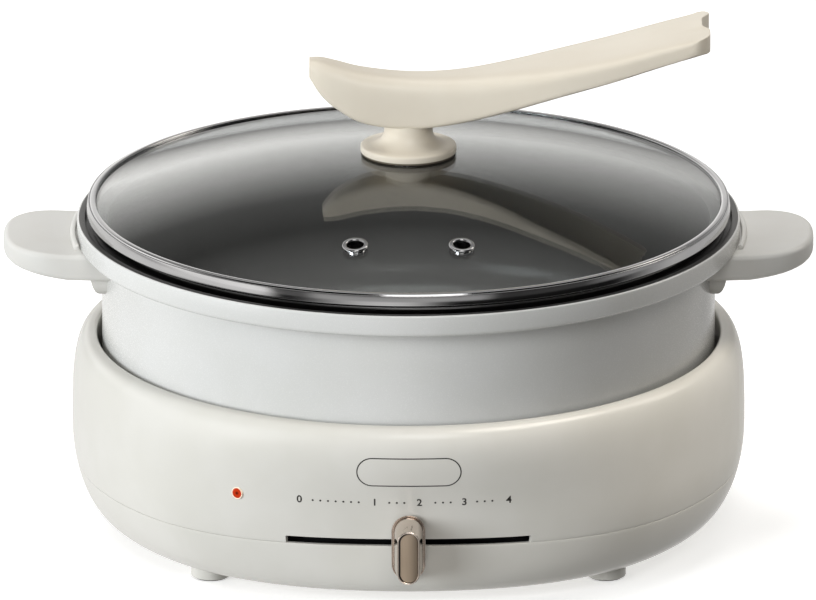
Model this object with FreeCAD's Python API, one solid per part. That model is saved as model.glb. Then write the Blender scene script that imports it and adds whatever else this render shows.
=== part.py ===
import FreeCAD, Part

# Electric hot pot: a flat-fronted round base with a heater and a sliding heat control, a lift-out
# pan with two side handles, and a domed glass lid with a long forked grip.
#
# Frame: millimetres, +Z up, the floor at Z = 0 under the feet, the Z axis through the centre of
# the pan. The front, with the slot and its sliding knob, faces -Y. The grip's fork points to +X.

import math
import os

from FreeCAD import Rotation, Vector

# ------------------------------------------------------------------------------ driving sizes
# Pan
PAN_RADIUS = 142.6
PAN_WALL = 3.0
PAN_SEAT_HEIGHT = 58.0
PAN_HEIGHT = 87.9
PAN_CORNER = 26.0
PAN_BAND_REACH = 11.4
PAN_BAND_HEIGHT = 10.3
PAN_BAND_ROUND = 2.2
PAN_BAND_TOP_ROUND = 0.8
PAN_RIM_WIDTH = 3.4
LID_SEAT_DEPTH = 3.0
LINING_THICKNESS = 0.4
BASE_DISC_RADIUS = 88.0
BASE_DISC_THICKNESS = 1.5

# Pan handles
HANDLE_LENGTH = 34.2
HANDLE_HALF_WIDTH = 33.0
HANDLE_CORNER = 24.0
HANDLE_ROOT_THICKNESS = 13.0
HANDLE_TIP_THICKNESS = 10.7
HANDLE_LIFT = 1.8
HANDLE_EDGE_ROUND = 2.2
HANDLE_PAD_HALF_WIDTH = 30.0
HANDLE_PAD_REACH = 8.0
HANDLE_PAD_DROP = 10.5
HANDLE_PAD_ROUND = 8.0
COLLAR_HALF_WIDTH = 21.0
COLLAR_THICKNESS = 4.0
COLLAR_RISE = 2.6
COLLAR_GAP = 0.8
BRACKET_LENGTH = 26.0
BRACKET_HALF_WIDTH = 14.0
BRACKET_THICKNESS = 2.0
HANDLE_SCREW_RADIUS = 2.0
HANDLE_SCREW_HEAD_RADIUS = 3.8
HANDLE_SCREW_HEAD_HEIGHT = 2.4
HANDLE_SCREW_SINK = 0.8
HANDLE_SCREW_SPACING = 16.0

# Base shells
WELL_CLEARANCE = 2.4
BASE_RIM_HEIGHT = 91.0
BASE_RING_WIDTH = 11.7
BASE_LIP_FLAT = 1.5
BASE_LIP_ROUND = 1.2
BELLY_HEIGHT = 48.0
BASE_UNDERCUT = 19.7
SEAM_HEIGHT = 31.3
SHELL_WALL = 2.5
CREST_WALL = 3.0
BELLY_FULLNESS = 3.0
FRONT_FLAT_DEPTH = 14.0
FRONT_FLAT_HALF_ANGLE = 50.0
FRONT_FLAT_FADE_DOWN = 50.0
SKIRT_THICKNESS = 2.5
LEDGE_WIDTH = 23.0
LEDGE_THICKNESS = 2.5
LEDGE_DROP = 2.0
LOCATOR_DEPTH = 2.0
LOCATOR_WIDTH = 22.0
LOCATOR_HEIGHT = 24.0
LOCATOR_DROP = 0.4

# Feet and case screws
FOOT_HEIGHT = 6.0
FOOT_RADIUS = 9.2
FOOT_INSET = 8.0
FOOT_ANGLE = 45.0
FOOT_PAD_RADIUS = 8.2
FOOT_PAD_THICKNESS = 1.8
FOOT_PAD_PROUD = 0.7
POST_RADIUS = 6.0
CASE_SCREW_RADIUS = 1.75
CASE_SCREW_HEAD_RADIUS = 3.6
CASE_SCREW_HEAD_HEIGHT = 2.4
CASE_SCREW_BITE = 14.0
SCREW_CLEARANCE = 0.4

# Heater
PLATE_RADIUS = 90.0
PLATE_THICKNESS = 7.0
PLATE_BORE = 18.5
PLATE_EDGE = 1.5
TUBE_RADIUS = 4.0
TUBE_RING_RADIUS = 58.0
TUBE_GAP_ANGLE = 36.0
TUBE_TAIL_LENGTH = 12.0
SUPPORT_RADIUS = 5.0
SUPPORT_CIRCLE_RADIUS = 76.0
SUPPORT_COUNT = 4
SHIELD_THICKNESS = 0.8
SHIELD_GAP = 0.6
SHIELD_HEIGHT = 24.0
SHIELD_INNER_GAP = 5.0
SHIELD_LIP = 4.0
FUSE_RADIUS = 8.0
FUSE_HEIGHT = 9.0
FUSE_OFFSET = 36.0
FUSE_TAB_WIDTH = 4.0
FUSE_TAB_THICKNESS = 1.0

# Pan sensor in the middle of the plate
SENSOR_CAP_RADIUS = 15.5
SENSOR_CAP_HEIGHT = 4.0
SENSOR_CAP_ROUND = 0.8
SENSOR_STEM_RADIUS = 4.5
SENSOR_STEM_LENGTH = 21.0
SENSOR_TRAVEL = 2.5
SENSOR_GAP = 0.3
HOLDER_WALL = 1.2
HOLDER_BORE_CLEARANCE = 0.08
SPRING_WIRE = 0.6
SPRING_RADIUS = 8.0
SPRING_TURNS = 3.5
SPRING_PRESSED_HEIGHT = 12.5

# Heat control
SLOT_HALF_LENGTH = 56.0
SLOT_HEIGHT = 3.3
KNOB_WIDTH = 15.6
KNOB_HEIGHT = 30.4
KNOB_PLATE_THICKNESS = 1.4
KNOB_FACE_WIDTH = 10.2
KNOB_FACE_HEIGHT = 25.4
KNOB_REACH = 19.6
KNOB_BODY_MARGIN = 1.2
KNOB_SHELL_GAP = 0.8
KNOB_TILT = 11.0
INSERT_MARGIN = 1.1
INSERT_THICKNESS = 1.2
INSERT_SINK = 0.5
STEM_WIDTH = 7.0
STEM_HEIGHT = 2.4
CARRIAGE_WIDTH = 13.0
CARRIAGE_HEIGHT = 10.0
CARRIAGE_DEPTH = 3.4
TONGUE_HEIGHT = 3.2
TONGUE_DEPTH = 3.0
RAIL_MARGIN = 3.0
RAIL_HEIGHT = 12.0
RAIL_DEPTH = 10.0
RAIL_SETBACK = 12.7
SLIDE_GAP = 0.3

# Control board
BOARD_MARGIN = 2.0
BOARD_WIDTH = 48.0
BOARD_THICKNESS = 1.6
BOARD_SCREW_INSET = 6.0
BOARD_POST_RADIUS = 3.6
BOARD_SCREW_RADIUS = 1.2
BOARD_SCREW_HEAD_RADIUS = 2.6
BOARD_SCREW_HEAD_HEIGHT = 1.6
BOARD_SCREW_LENGTH = 8.0
RELAY_LENGTH = 20.0
RELAY_WIDTH = 16.0
RELAY_HEIGHT = 15.0
CAPACITOR_RADIUS = 5.0
CAPACITOR_HEIGHT = 14.0
COMPONENT_PITCH = 24.0
COMPONENT_SETBACK = 29.0

# Indicator
LENS_RADIUS = 2.4
LENS_PROUD = 0.5
LENS_ROUND = 0.4
LENS_ACROSS = -80.0
LENS_HEIGHT = 54.0
GUIDE_DEPTH = 5.9
GUIDE_THICKNESS = 2.0
GUIDE_WIDTH = 4.0
GUIDE_DROP = 8.0
GUIDE_FOOT = 3.4
LED_RADIUS = 1.6
LED_HEIGHT = 4.5
LED_BOARD_SIZE = 9.0
LED_BOARD_THICKNESS = 1.2
LED_SHELF_THICKNESS = 2.0

# Power inlet at the back
INLET_WIDTH = 30.0
INLET_HEIGHT = 18.0
INLET_DEPTH = 30.0
INLET_WALL = 2.2
INLET_END_WALL = 6.0
INLET_FLANGE_MARGIN = 3.5
INLET_FLANGE_THICKNESS = 2.2
INLET_FLANGE_PROUD = 1.6
INLET_LEDGE_GAP = 2.2
PIN_RADIUS = 1.6
PIN_LENGTH = 14.0
PIN_TAIL = 6.0
PIN_SPACING = 7.5

# Leads
LEAD_RADIUS = 1.3
LEAD_BEND = 4.5
LEAD_FLOOR_GAP = 1.0
LEAD_DROP_SETBACK = 18.0
LEAD_BOARD_INSET = 6.0
HEATER_LEAD_INSET = 3.0
HEATER_LEAD_SPREAD = 30.0

# Lid
LID_RISE = 24.0
GLASS_THICKNESS = 4.0
GLASS_EDGE_HEIGHT = 7.1
RIM_FACE_HEIGHT = 4.1
RIM_FACE_BASE = 3.4
RIM_GRIP_WIDTH = 2.6
RIM_CAP = 1.2
RIM_WALL = 2.6
RIM_SKIRT = 1.2
RIM_SKIRT_DROP = 2.7
RIM_ROUND = 0.7
RIM_GROOVE = 0.5
LID_GAP = 0.2
VENT_ACROSS = 24.4
VENT_EDGE_DISTANCE = 42.2
VENT_RADIUS = 6.0
VENT_SHANK_RADIUS = 4.4
VENT_BORE = 2.8
VENT_PROUD = 1.3
VENT_ROUND = 0.5

# Knob and grip
FLANGE_RADIUS = 22.3
FLANGE_EDGE = 3.7
FLANGE_CROWN = 3.4
NECK_RADIUS = 11.3
NECK_FILLET = 4.5
NECK_HEIGHT = 14.6
GASKET_RADIUS = 20.6
GASKET_THICKNESS = 0.8
KNOB_SCREW_RADIUS = 2.5
KNOB_SCREW_HEAD_RADIUS = 4.8
KNOB_SCREW_HEAD_HEIGHT = 2.6
KNOB_SCREW_BITE = 9.0
WASHER_RADIUS = 12.0
WASHER_THICKNESS = 1.2
SEAL_THICKNESS = 1.4
GRIP_BELLY = 24.0
GRIP_SINK = 1.9
GRIP_TRIM = 2.0
GRIP_NOSE_REACH = 46.0
GRIP_TAIL_REACH = 139.5
GRIP_TAIL_RISE = 48.8
GRIP_TAIL_THICKNESS = 8.6
GRIP_TAIL_HALF_WIDTH = 24.0
GRIP_BELLY_HALF_WIDTH = 12.0
GRIP_NOSE_RISE = 31.6
GRIP_NOSE_THICKNESS = 8.0
GRIP_NOSE_HALF_WIDTH = 5.5
FORK_LOBE_ROUND = 9.0
FORK_NOTCH_DEPTH = 5.0
FORK_NOTCH_HALF_WIDTH = 7.0

# Small clearances and cutting margins
FIT_GAP = 0.3
OVERCUT = 5.0

# ------------------------------------------------------------------------------ worked-out sizes
WELL_RADIUS = PAN_RADIUS + WELL_CLEARANCE
BELLY_RADIUS = WELL_RADIUS + BASE_RING_WIDTH
FLOOR_RADIUS = BELLY_RADIUS - BASE_UNDERCUT
FLOOR_TOP = FOOT_HEIGHT + SHELL_WALL
LEDGE_TOP = PAN_SEAT_HEIGHT - LEDGE_DROP
LEDGE_BOTTOM = LEDGE_TOP - LEDGE_THICKNESS
SKIRT_RADIUS = WELL_RADIUS + SKIRT_THICKNESS
LEDGE_RADIUS = WELL_RADIUS - LEDGE_WIDTH
FOOT_CIRCLE = FLOOR_RADIUS - FOOT_INSET
INLET_MIDDLE = LEDGE_BOTTOM - INLET_LEDGE_GAP - INLET_HEIGHT / 2

PAN_TOP = PAN_SEAT_HEIGHT + PAN_HEIGHT
PAN_UNDERSIDE = PAN_SEAT_HEIGHT + BASE_DISC_THICKNESS
BAND_RADIUS = PAN_RADIUS + PAN_BAND_REACH
BAND_BOTTOM = PAN_TOP - PAN_BAND_HEIGHT
RIM_INNER_RADIUS = BAND_RADIUS - PAN_BAND_TOP_ROUND - PAN_RIM_WIDTH + LINING_THICKNESS
LID_SEAT = PAN_TOP - LID_SEAT_DEPTH
PAN_BORE = PAN_RADIUS - PAN_WALL

PLATE_TOP = PAN_SEAT_HEIGHT
PLATE_BOTTOM = PLATE_TOP - PLATE_THICKNESS
TUBE_HEIGHT = PLATE_BOTTOM - TUBE_RADIUS / 2

RAIL_HALF_LENGTH = SLOT_HALF_LENGTH + RAIL_MARGIN
BOARD_HALF_LENGTH = RAIL_HALF_LENGTH + BOARD_MARGIN
SLOT_TOP = SEAM_HEIGHT + SLOT_HEIGHT
SLOT_MIDDLE = SEAM_HEIGHT + SLOT_HEIGHT / 2

LID_RADIUS = RIM_INNER_RADIUS - 2 * LID_GAP
LID_BOTTOM = LID_SEAT + LID_GAP
GLASS_RADIUS = LID_RADIUS - RIM_WALL
GLASS_EDGE_TOP = PAN_TOP + GLASS_EDGE_HEIGHT
DOME_TOP = GLASS_EDGE_TOP + LID_RISE
DOME_RADIUS = (GLASS_RADIUS**2 + LID_RISE**2) / (2 * LID_RISE)
DOME_CENTRE = DOME_TOP - DOME_RADIUS
FLANGE_BOTTOM = DOME_TOP + GASKET_THICKNESS
NECK_TOP = FLANGE_BOTTOM + NECK_HEIGHT

Z_AXIS = Vector(0, 0, 1)
X_AXIS = Vector(1, 0, 0)
Y_AXIS = Vector(0, 1, 0)


# ------------------------------------------------------------------------------ drawing helpers
class Outline:
    """A closed outline in the X-Z plane, drawn edge by edge and then turned or extruded."""

    def __init__(self, x, z):
        self.first = Vector(x, 0, z)
        self.here = self.first
        self.edges = []

    def line(self, x, z):
        there = Vector(x, 0, z)
        self.edges.append(Part.makeLine(self.here, there))
        self.here = there
        return self

    def arc(self, centre_x, centre_z, x, z):
        """A quarter turn or less about a centre, on the short side."""
        centre, there = Vector(centre_x, 0, centre_z), Vector(x, 0, z)
        toward = (self.here - centre) + (there - centre)
        middle = centre + toward.normalize() * (self.here - centre).Length
        self.edges.append(Part.Arc(self.here, middle, there).toShape())
        self.here = there
        return self

    def curve(self, *points):
        """One smooth curve from here through the points."""
        spline = Part.BSplineCurve()
        through = [self.here] + [Vector(x, 0, z) for x, z in points]
        spline.interpolate(through)
        self.edges.append(spline.toShape())
        self.here = through[-1]
        return self

    def face(self):
        if self.here.distanceToPoint(self.first) > 1e-7:
            self.edges.append(Part.makeLine(self.here, self.first))
        return Part.Face(Part.Wire(self.edges))

    def turned(self):
        return self.face().revolve(Vector(0, 0, 0), Z_AXIS, 360)

    def extruded(self, half_width):
        """A prism along Y, the same distance to both sides."""
        flat = self.face()
        flat.translate(Vector(0, -half_width, 0))
        return flat.extrude(Vector(0, 2 * half_width, 0))


def cylinder(radius, bottom, top, x=0.0, y=0.0):
    return Part.makeCylinder(radius, top - bottom, Vector(x, y, bottom))


def tube(outer, inner, bottom, top, x=0.0, y=0.0):
    return cylinder(outer, bottom, top, x, y).cut(cylinder(inner, bottom, top, x, y))


def block(x_range, y_range, z_range):
    corner = Vector(x_range[0], y_range[0], z_range[0])
    return Part.makeBox(x_range[1] - x_range[0], y_range[1] - y_range[0], z_range[1] - z_range[0], corner)


def polar(radius, angle):
    """A point at an angle measured from the front (-Y) towards +X, in degrees."""
    turn = math.radians(angle)
    return radius * math.sin(turn), -radius * math.cos(turn)


def pill_wire(width, height, y):
    """An upright pill in the X-Z plane, centred on the Y axis."""
    round_radius, straight = width / 2, (height - width) / 2
    left, right = Vector(-round_radius, y, 0), Vector(round_radius, y, 0)
    up = Vector(0, 0, straight)
    crown, heel = Vector(0, y, height / 2), Vector(0, y, -height / 2)
    return Part.Wire([
        Part.makeLine(right - up, right + up),
        Part.Arc(right + up, crown, left + up).toShape(),
        Part.makeLine(left + up, left - up),
        Part.Arc(left - up, heel, right - up).toShape(),
    ])


def lead(points, radius, bend):
    """A round lead along straight runs joined by arcs, each arc tangent to both its runs."""
    corners = [Vector(*point) for point in points]
    edges, here = [], corners[0]
    for before, corner, after in zip(corners, corners[1:], corners[2:]):
        back = (before - corner).normalize()
        ahead = (after - corner).normalize()
        half_angle = back.getAngle(ahead) / 2
        setback = bend / math.tan(half_angle)
        start, end = corner + back * setback, corner + ahead * setback
        inward = (back + ahead).normalize()
        middle = corner + inward * (bend / math.sin(half_angle) - bend)
        edges.append(Part.makeLine(here, start))
        edges.append(Part.Arc(start, middle, end).toShape())
        here = end
    edges.append(Part.makeLine(here, corners[-1]))
    path = Part.Wire(edges)
    heading = corners[1] - corners[0]
    section = Part.Wire(Part.makeCircle(radius, corners[0], heading))
    return path.makePipeShell([section], True, False)


# ------------------------------------------------------------------------------ base shells
def shell_radius(height):
    """Radius of the base's outside at a height, away from the flattened front."""
    if height >= BELLY_HEIGHT:
        share = (height - BELLY_HEIGHT) / (BASE_RIM_HEIGHT - BELLY_HEIGHT)
        power = BELLY_FULLNESS
        inner, reach = WELL_RADIUS + BASE_LIP_FLAT, BASE_RING_WIDTH - BASE_LIP_FLAT
    else:
        share = (BELLY_HEIGHT - height) / (BELLY_HEIGHT - FOOT_HEIGHT)
        power = 2.0
        inner, reach = FLOOR_RADIUS, BASE_UNDERCUT
    return inner + reach * max(0.0, 1 - share**power) ** (1 / power)


def front_depth(height):
    """How far the middle of the front is drawn in at a height."""
    if height >= SEAM_HEIGHT:
        share = (height - SEAM_HEIGHT) / (BASE_RIM_HEIGHT - SEAM_HEIGHT)
    else:
        share = (SEAM_HEIGHT - height) / FRONT_FLAT_FADE_DOWN
    return FRONT_FLAT_DEPTH * math.cos(min(share, 1.0) * math.pi / 2) ** 2


def shell_point(angle, height, inset=0.0):
    """A point of the base's outside at an angle from the front, drawn in by an inset."""
    fade = math.cos(math.radians(90 * angle / FRONT_FLAT_HALF_ANGLE)) ** 2
    radius = shell_radius(height) - inset - front_depth(height) * fade
    x, y = polar(radius, angle)
    return Vector(x, y, height)


def shell_section(height, inset):
    """The plan outline of the base at a height: a flattened front and one arc round the back."""
    edge = FRONT_FLAT_HALF_ANGLE
    steps = [-edge + 2 * edge * index / 10 for index in range(11)]
    front_points = [shell_point(angle, height, inset) for angle in steps]
    start, end = front_points[0], front_points[-1]
    front = Part.BSplineCurve()
    front.interpolate(
        Points=front_points,
        InitialTangent=Vector(-start.y, start.x, 0),
        FinalTangent=Vector(-end.y, end.x, 0),
    )
    back_point = Vector(0, shell_radius(height) - inset, height)
    back = Part.Arc(end, back_point, start)
    return Part.Wire([front.toShape(), back.toShape()])


def shell_form(bottom, top, inset, shares):
    """A solid between two heights that follows the base's outside."""
    levels = [bottom + (top - bottom) * share for share in shares]
    return Part.makeLoft([shell_section(level, inset) for level in levels], True, False)


def foot_places():
    """The four feet by name, each at its angle from the front."""
    return {
        "front_left": polar(FOOT_CIRCLE, -FOOT_ANGLE),
        "front_right": polar(FOOT_CIRCLE, FOOT_ANGLE),
        "rear_left": polar(FOOT_CIRCLE, FOOT_ANGLE - 180),
        "rear_right": polar(FOOT_CIRCLE, 180 - FOOT_ANGLE),
    }


def lens_line():
    """Where the indicator lens meets the outside, and the level direction that it looks in."""
    angle = math.degrees(math.asin(LENS_ACROSS / shell_radius(LENS_HEIGHT)))
    point = shell_point(angle, LENS_HEIGHT)
    step = 1.0
    along = shell_point(angle + step, LENS_HEIGHT) - shell_point(angle - step, LENS_HEIGHT)
    outward = along.cross(Z_AXIS).normalize()
    return point, outward


def lens_rod(radius, inner, outer):
    """A round bar on the lens line between two distances from the outside, positive outwards."""
    point, outward = lens_line()
    return Part.makeCylinder(radius, outer - inner, point + outward * inner, outward)


def lens_block(width, inner, outer, bottom, top):
    """A block across the lens line, between two distances from the outside and two heights."""
    point, outward = lens_line()
    piece = block((-width / 2, width / 2), (inner, outer), (bottom, top))
    piece.Placement = FreeCAD.Placement(Vector(point.x, point.y, 0), Rotation(Y_AXIS, outward))
    return piece


def led_board_top():
    return LENS_HEIGHT - GUIDE_DROP - FIT_GAP - LED_HEIGHT


def led_board_reach():
    """How far the outer edge of the indicator's board stands from the outside."""
    return GUIDE_THICKNESS - GUIDE_DEPTH - 2 * FIT_GAP


def inlet_box(margin, back, front):
    """A block on the inlet's line, from one distance behind the shell's outside to another."""
    half, rise = INLET_WIDTH / 2 + margin, INLET_HEIGHT / 2 + margin
    return block(
        (-half, half),
        (BELLY_RADIUS + back, BELLY_RADIUS + front),
        (INLET_MIDDLE - rise, INLET_MIDDLE + rise),
    )


def inlet_cuts():
    """What the inlet takes out of the shells: its hole and the seat of its flange."""
    seat_back = INLET_FLANGE_PROUD - INLET_FLANGE_THICKNESS
    return [
        inlet_box(0, -BASE_RING_WIDTH - OVERCUT, OVERCUT),
        inlet_box(INLET_FLANGE_MARGIN, seat_back, OVERCUT),
    ]


def make_upper_shell():
    outside_levels = (0, 0.13, 0.28, 0.45, 0.62, 0.75, 0.85, 0.92, 0.96, 0.985, 1)
    outside = shell_form(SEAM_HEIGHT, BASE_RIM_HEIGHT, 0.0, outside_levels)
    inside_levels = (0, 0.14, 0.3, 0.48, 0.66, 0.8, 0.9, 0.96, 1)
    inside = shell_form(SEAM_HEIGHT, BASE_RIM_HEIGHT - CREST_WALL, SHELL_WALL, inside_levels)

    skirt = cylinder(SKIRT_RADIUS, LEDGE_BOTTOM, BASE_RIM_HEIGHT)
    posts = [
        cylinder(POST_RADIUS, SEAM_HEIGHT, LEDGE_TOP, x, y) for x, y in foot_places().values()
    ]
    kept = skirt.multiFuse(posts + [make_led_shelf()]).common(outside)
    shell = outside.cut(inside).fuse(kept)

    ledge_way = cylinder(LEDGE_RADIUS, LEDGE_BOTTOM, LEDGE_TOP)
    for x, y in foot_places().values():
        ledge_way = ledge_way.cut(cylinder(POST_RADIUS, LEDGE_BOTTOM, LEDGE_TOP, x, y))
    well = cylinder(WELL_RADIUS, LEDGE_TOP, BASE_RIM_HEIGHT + OVERCUT)
    shell = shell.cut(well).cut(ledge_way)
    lip = [edge for edge in shell.Edges if is_circle(edge, WELL_RADIUS, BASE_RIM_HEIGHT)]
    shell = shell.makeFillet(BASE_LIP_ROUND, lip)
    shell = shell.fuse([make_locator(side) for side in (-1, 1)])

    slot = block(
        (-SLOT_HALF_LENGTH, SLOT_HALF_LENGTH),
        (-BELLY_RADIUS - OVERCUT, -BELLY_RADIUS + FRONT_FLAT_DEPTH + 2 * RAIL_SETBACK),
        (SEAM_HEIGHT - OVERCUT, SLOT_TOP),
    )
    screw_tops = SEAM_HEIGHT + CASE_SCREW_BITE
    screw_holes = [
        cylinder(CASE_SCREW_RADIUS, SEAM_HEIGHT - OVERCUT, screw_tops, x, y)
        for x, y in foot_places().values()
    ]
    lens_hole = lens_rod(LENS_RADIUS, -GUIDE_DEPTH, OVERCUT)
    return shell.cut([slot, lens_hole] + inlet_cuts() + screw_holes)


def make_led_shelf():
    """The shelf inside the shell that carries the indicator's board."""
    top = led_board_top() - LED_BOARD_THICKNESS
    inner = led_board_reach() - LED_BOARD_SIZE
    return lens_block(LED_BOARD_SIZE, inner, 0, top - LED_SHELF_THICKNESS, top)


def make_locator(side):
    """One of the two ribs in the well, behind its widest point, that steady the pan."""
    start = WELL_RADIUS - LOCATOR_DEPTH
    rib = tube(
        WELL_RADIUS + SKIRT_THICKNESS / 2,
        start,
        BASE_RIM_HEIGHT - LOCATOR_DROP - LOCATOR_HEIGHT,
        BASE_RIM_HEIGHT - LOCATOR_DROP,
    )
    keep = block(
        sorted((0.0, side * BELLY_RADIUS)), (0.0, LOCATOR_WIDTH), (0, BASE_RIM_HEIGHT + OVERCUT)
    )
    return rib.common(keep)


def is_circle(edge, radius, height):
    """Whether an edge is a level circle, or part of one, of a radius about the Z axis."""
    if not isinstance(edge.Curve, Part.Circle):
        return False
    centre = edge.Curve.Center
    return abs(edge.Curve.Radius - radius) < 1e-6 and abs(centre.z - height) < 1e-6


def make_lower_shell():
    outside_levels = (0, 0.012, 0.05, 0.12, 0.24, 0.42, 0.68, 1)
    outside = shell_form(FOOT_HEIGHT, SEAM_HEIGHT, 0.0, outside_levels)
    inside_levels = (0, 0.06, 0.18, 0.36, 0.64, 1)
    inside = shell_form(FLOOR_TOP, SEAM_HEIGHT, SHELL_WALL, inside_levels)
    shell = outside.cut(inside)

    posts = [
        cylinder(POST_RADIUS, FOOT_HEIGHT, SEAM_HEIGHT, x, y) for x, y in foot_places().values()
    ]
    board_posts = [
        cylinder(BOARD_POST_RADIUS, FOOT_HEIGHT, board_bottom(), x, y)
        for x, y in board_screw_places()
    ]
    sockets = [
        cylinder(SUPPORT_RADIUS + SHELL_WALL, FOOT_HEIGHT, FLOOR_TOP + SHELL_WALL, x, y)
        for x, y in support_places()
    ]
    shell = shell.fuse(posts + board_posts + sockets)

    shank_holes = [
        cylinder(CASE_SCREW_RADIUS + SCREW_CLEARANCE, 0, SEAM_HEIGHT + OVERCUT, x, y)
        for x, y in foot_places().values()
    ]
    board_holes = [
        cylinder(
            BOARD_SCREW_RADIUS, board_top() - BOARD_SCREW_LENGTH, board_top() + OVERCUT, x, y
        )
        for x, y in board_screw_places()
    ]
    support_holes = [
        cylinder(SUPPORT_RADIUS, FLOOR_TOP, FLOOR_TOP + SHELL_WALL + OVERCUT, x, y)
        for x, y in support_places()
    ]
    return shell.cut(shank_holes + board_holes + support_holes + inlet_cuts())


# ------------------------------------------------------------------------------ feet and screws
def make_foot(x, y):
    """A short round foot with a recess for its pad and a counterbore for the case screw."""
    foot = cylinder(FOOT_RADIUS, FOOT_PAD_PROUD, FOOT_HEIGHT, x, y)
    recess = cylinder(FOOT_PAD_RADIUS, 0, FOOT_PAD_THICKNESS, x, y)
    head = cylinder(CASE_SCREW_HEAD_RADIUS + SCREW_CLEARANCE, 0, screw_head_top(), x, y)
    shank = cylinder(CASE_SCREW_RADIUS + SCREW_CLEARANCE, 0, FOOT_HEIGHT + OVERCUT, x, y)
    return foot.cut([recess, head, shank])


def screw_head_top():
    return FOOT_PAD_THICKNESS + CASE_SCREW_HEAD_HEIGHT


def make_foot_pad(x, y):
    """A rubber disc under the foot, which hides the case screw."""
    pad = cylinder(FOOT_PAD_RADIUS, 0, FOOT_PAD_THICKNESS, x, y)
    rims = [edge for edge in pad.Edges if abs(edge.BoundBox.ZMax) < 1e-6]
    return pad.makeChamfer(FOOT_PAD_PROUD / 2, rims)


def make_case_screws():
    screws = []
    for x, y in foot_places().values():
        head = cylinder(CASE_SCREW_HEAD_RADIUS, FOOT_PAD_THICKNESS, screw_head_top(), x, y)
        shank = cylinder(
            CASE_SCREW_RADIUS, FOOT_PAD_THICKNESS, SEAM_HEIGHT + CASE_SCREW_BITE, x, y
        )
        screws.append(head.fuse(shank))
    return Part.makeCompound(screws)


# ------------------------------------------------------------------------------ heater
def make_heating_plate():
    edge = PLATE_EDGE
    plate = (
        Outline(PLATE_BORE, PLATE_BOTTOM)
        .line(PLATE_RADIUS, PLATE_BOTTOM)
        .line(PLATE_RADIUS, PLATE_TOP - edge)
        .line(PLATE_RADIUS - edge, PLATE_TOP)
        .line(PLATE_BORE, PLATE_TOP)
        .turned()
    )
    return plate.cut(make_heating_tube())


def tube_ends():
    """The two ends of the heating tube's ring, beside the gap at the back."""
    half_gap = TUBE_GAP_ANGLE / 2
    return polar(TUBE_RING_RADIUS, 180 - half_gap), polar(TUBE_RING_RADIUS, 180 + half_gap)


def make_heating_tube():
    """A ring of sheathed heating tube, open at the back, with both ends turned down."""
    (right_x, right_y), (left_x, left_y) = tube_ends()
    ring = Part.Arc(
        Vector(right_x, right_y, TUBE_HEIGHT),
        Vector(0, -TUBE_RING_RADIUS, TUBE_HEIGHT),
        Vector(left_x, left_y, TUBE_HEIGHT),
    ).toShape()
    section = Part.Wire(
        Part.makeCircle(TUBE_RADIUS, ring.Vertexes[0].Point, ring.tangentAt(ring.FirstParameter))
    )
    solid = Part.Wire([ring]).makePipeShell([section], True, False)
    tails = [make_tube_tail(right_x, right_y), make_tube_tail(left_x, left_y)]
    return solid.fuse(tails)


def make_tube_tail(x, y):
    """One end of the tube: a ball joint of tube and a straight drop to its terminal."""
    elbow = Part.makeSphere(TUBE_RADIUS, Vector(x, y, TUBE_HEIGHT))
    drop = cylinder(TUBE_RADIUS, TUBE_HEIGHT - TUBE_TAIL_LENGTH, TUBE_HEIGHT, x, y)
    return elbow.fuse(drop)


def support_places():
    return [
        polar(SUPPORT_CIRCLE_RADIUS, 360 * index / SUPPORT_COUNT + 180 / SUPPORT_COUNT)
        for index in range(SUPPORT_COUNT)
    ]


def make_heater_supports():
    """The posts that stand in the lower shell's sockets and carry the heating plate."""
    posts = [cylinder(SUPPORT_RADIUS, FLOOR_TOP, PLATE_BOTTOM, x, y) for x, y in support_places()]
    return Part.makeCompound(posts)


def make_heat_shield():
    """A thin pan on the ledge, with a wall round the well and a lip round the plate."""
    outer = WELL_RADIUS - SHIELD_GAP
    inner = PLATE_RADIUS + SHIELD_INNER_GAP
    wall, floor = SHIELD_THICKNESS, LEDGE_TOP
    lip_bottom = floor - SHIELD_LIP
    ring = (
        Outline(inner, lip_bottom)
        .line(inner + wall, lip_bottom)
        .line(inner + wall, floor)
        .line(outer, floor)
        .line(outer, floor + SHIELD_HEIGHT)
        .line(outer - wall, floor + SHIELD_HEIGHT)
        .line(outer - wall, floor + wall)
        .line(inner, floor + wall)
        .turned()
    )
    gaps = [
        tube(
            WELL_RADIUS,
            WELL_RADIUS - LOCATOR_DEPTH - SHIELD_GAP,
            BASE_RIM_HEIGHT - LOCATOR_DROP - LOCATOR_HEIGHT - SHIELD_GAP,
            BASE_RIM_HEIGHT,
        ).common(
            block(
                sorted((0.0, side * BELLY_RADIUS)),
                (-SHIELD_GAP, LOCATOR_WIDTH + SHIELD_GAP),
                (0, BASE_RIM_HEIGHT + OVERCUT),
            )
        )
        for side in (-1, 1)
    ]
    return ring.cut(gaps)


def make_thermal_fuse():
    """A round cut-out held against the plate's underside, with its two tabs."""
    x, y = FUSE_OFFSET, 0.0
    body = cylinder(FUSE_RADIUS, PLATE_BOTTOM - FUSE_HEIGHT, PLATE_BOTTOM, x, y)
    low, half = PLATE_BOTTOM - FUSE_HEIGHT, FUSE_TAB_WIDTH / 2
    tabs = [
        block(
            (x - half, x + half),
            sorted((side * half, side * (FUSE_RADIUS + half))),
            (low - FUSE_TAB_THICKNESS, low),
        )
        for side in (-1, 1)
    ]
    return body.fuse(tabs)


# ------------------------------------------------------------------------------ pan sensor
def sensor_top():
    return PLATE_TOP - SENSOR_GAP


def holder_floor():
    """The top of the holder's floor, on which the spring stands."""
    return sensor_top() - SENSOR_CAP_HEIGHT - SPRING_PRESSED_HEIGHT - SENSOR_TRAVEL


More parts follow.
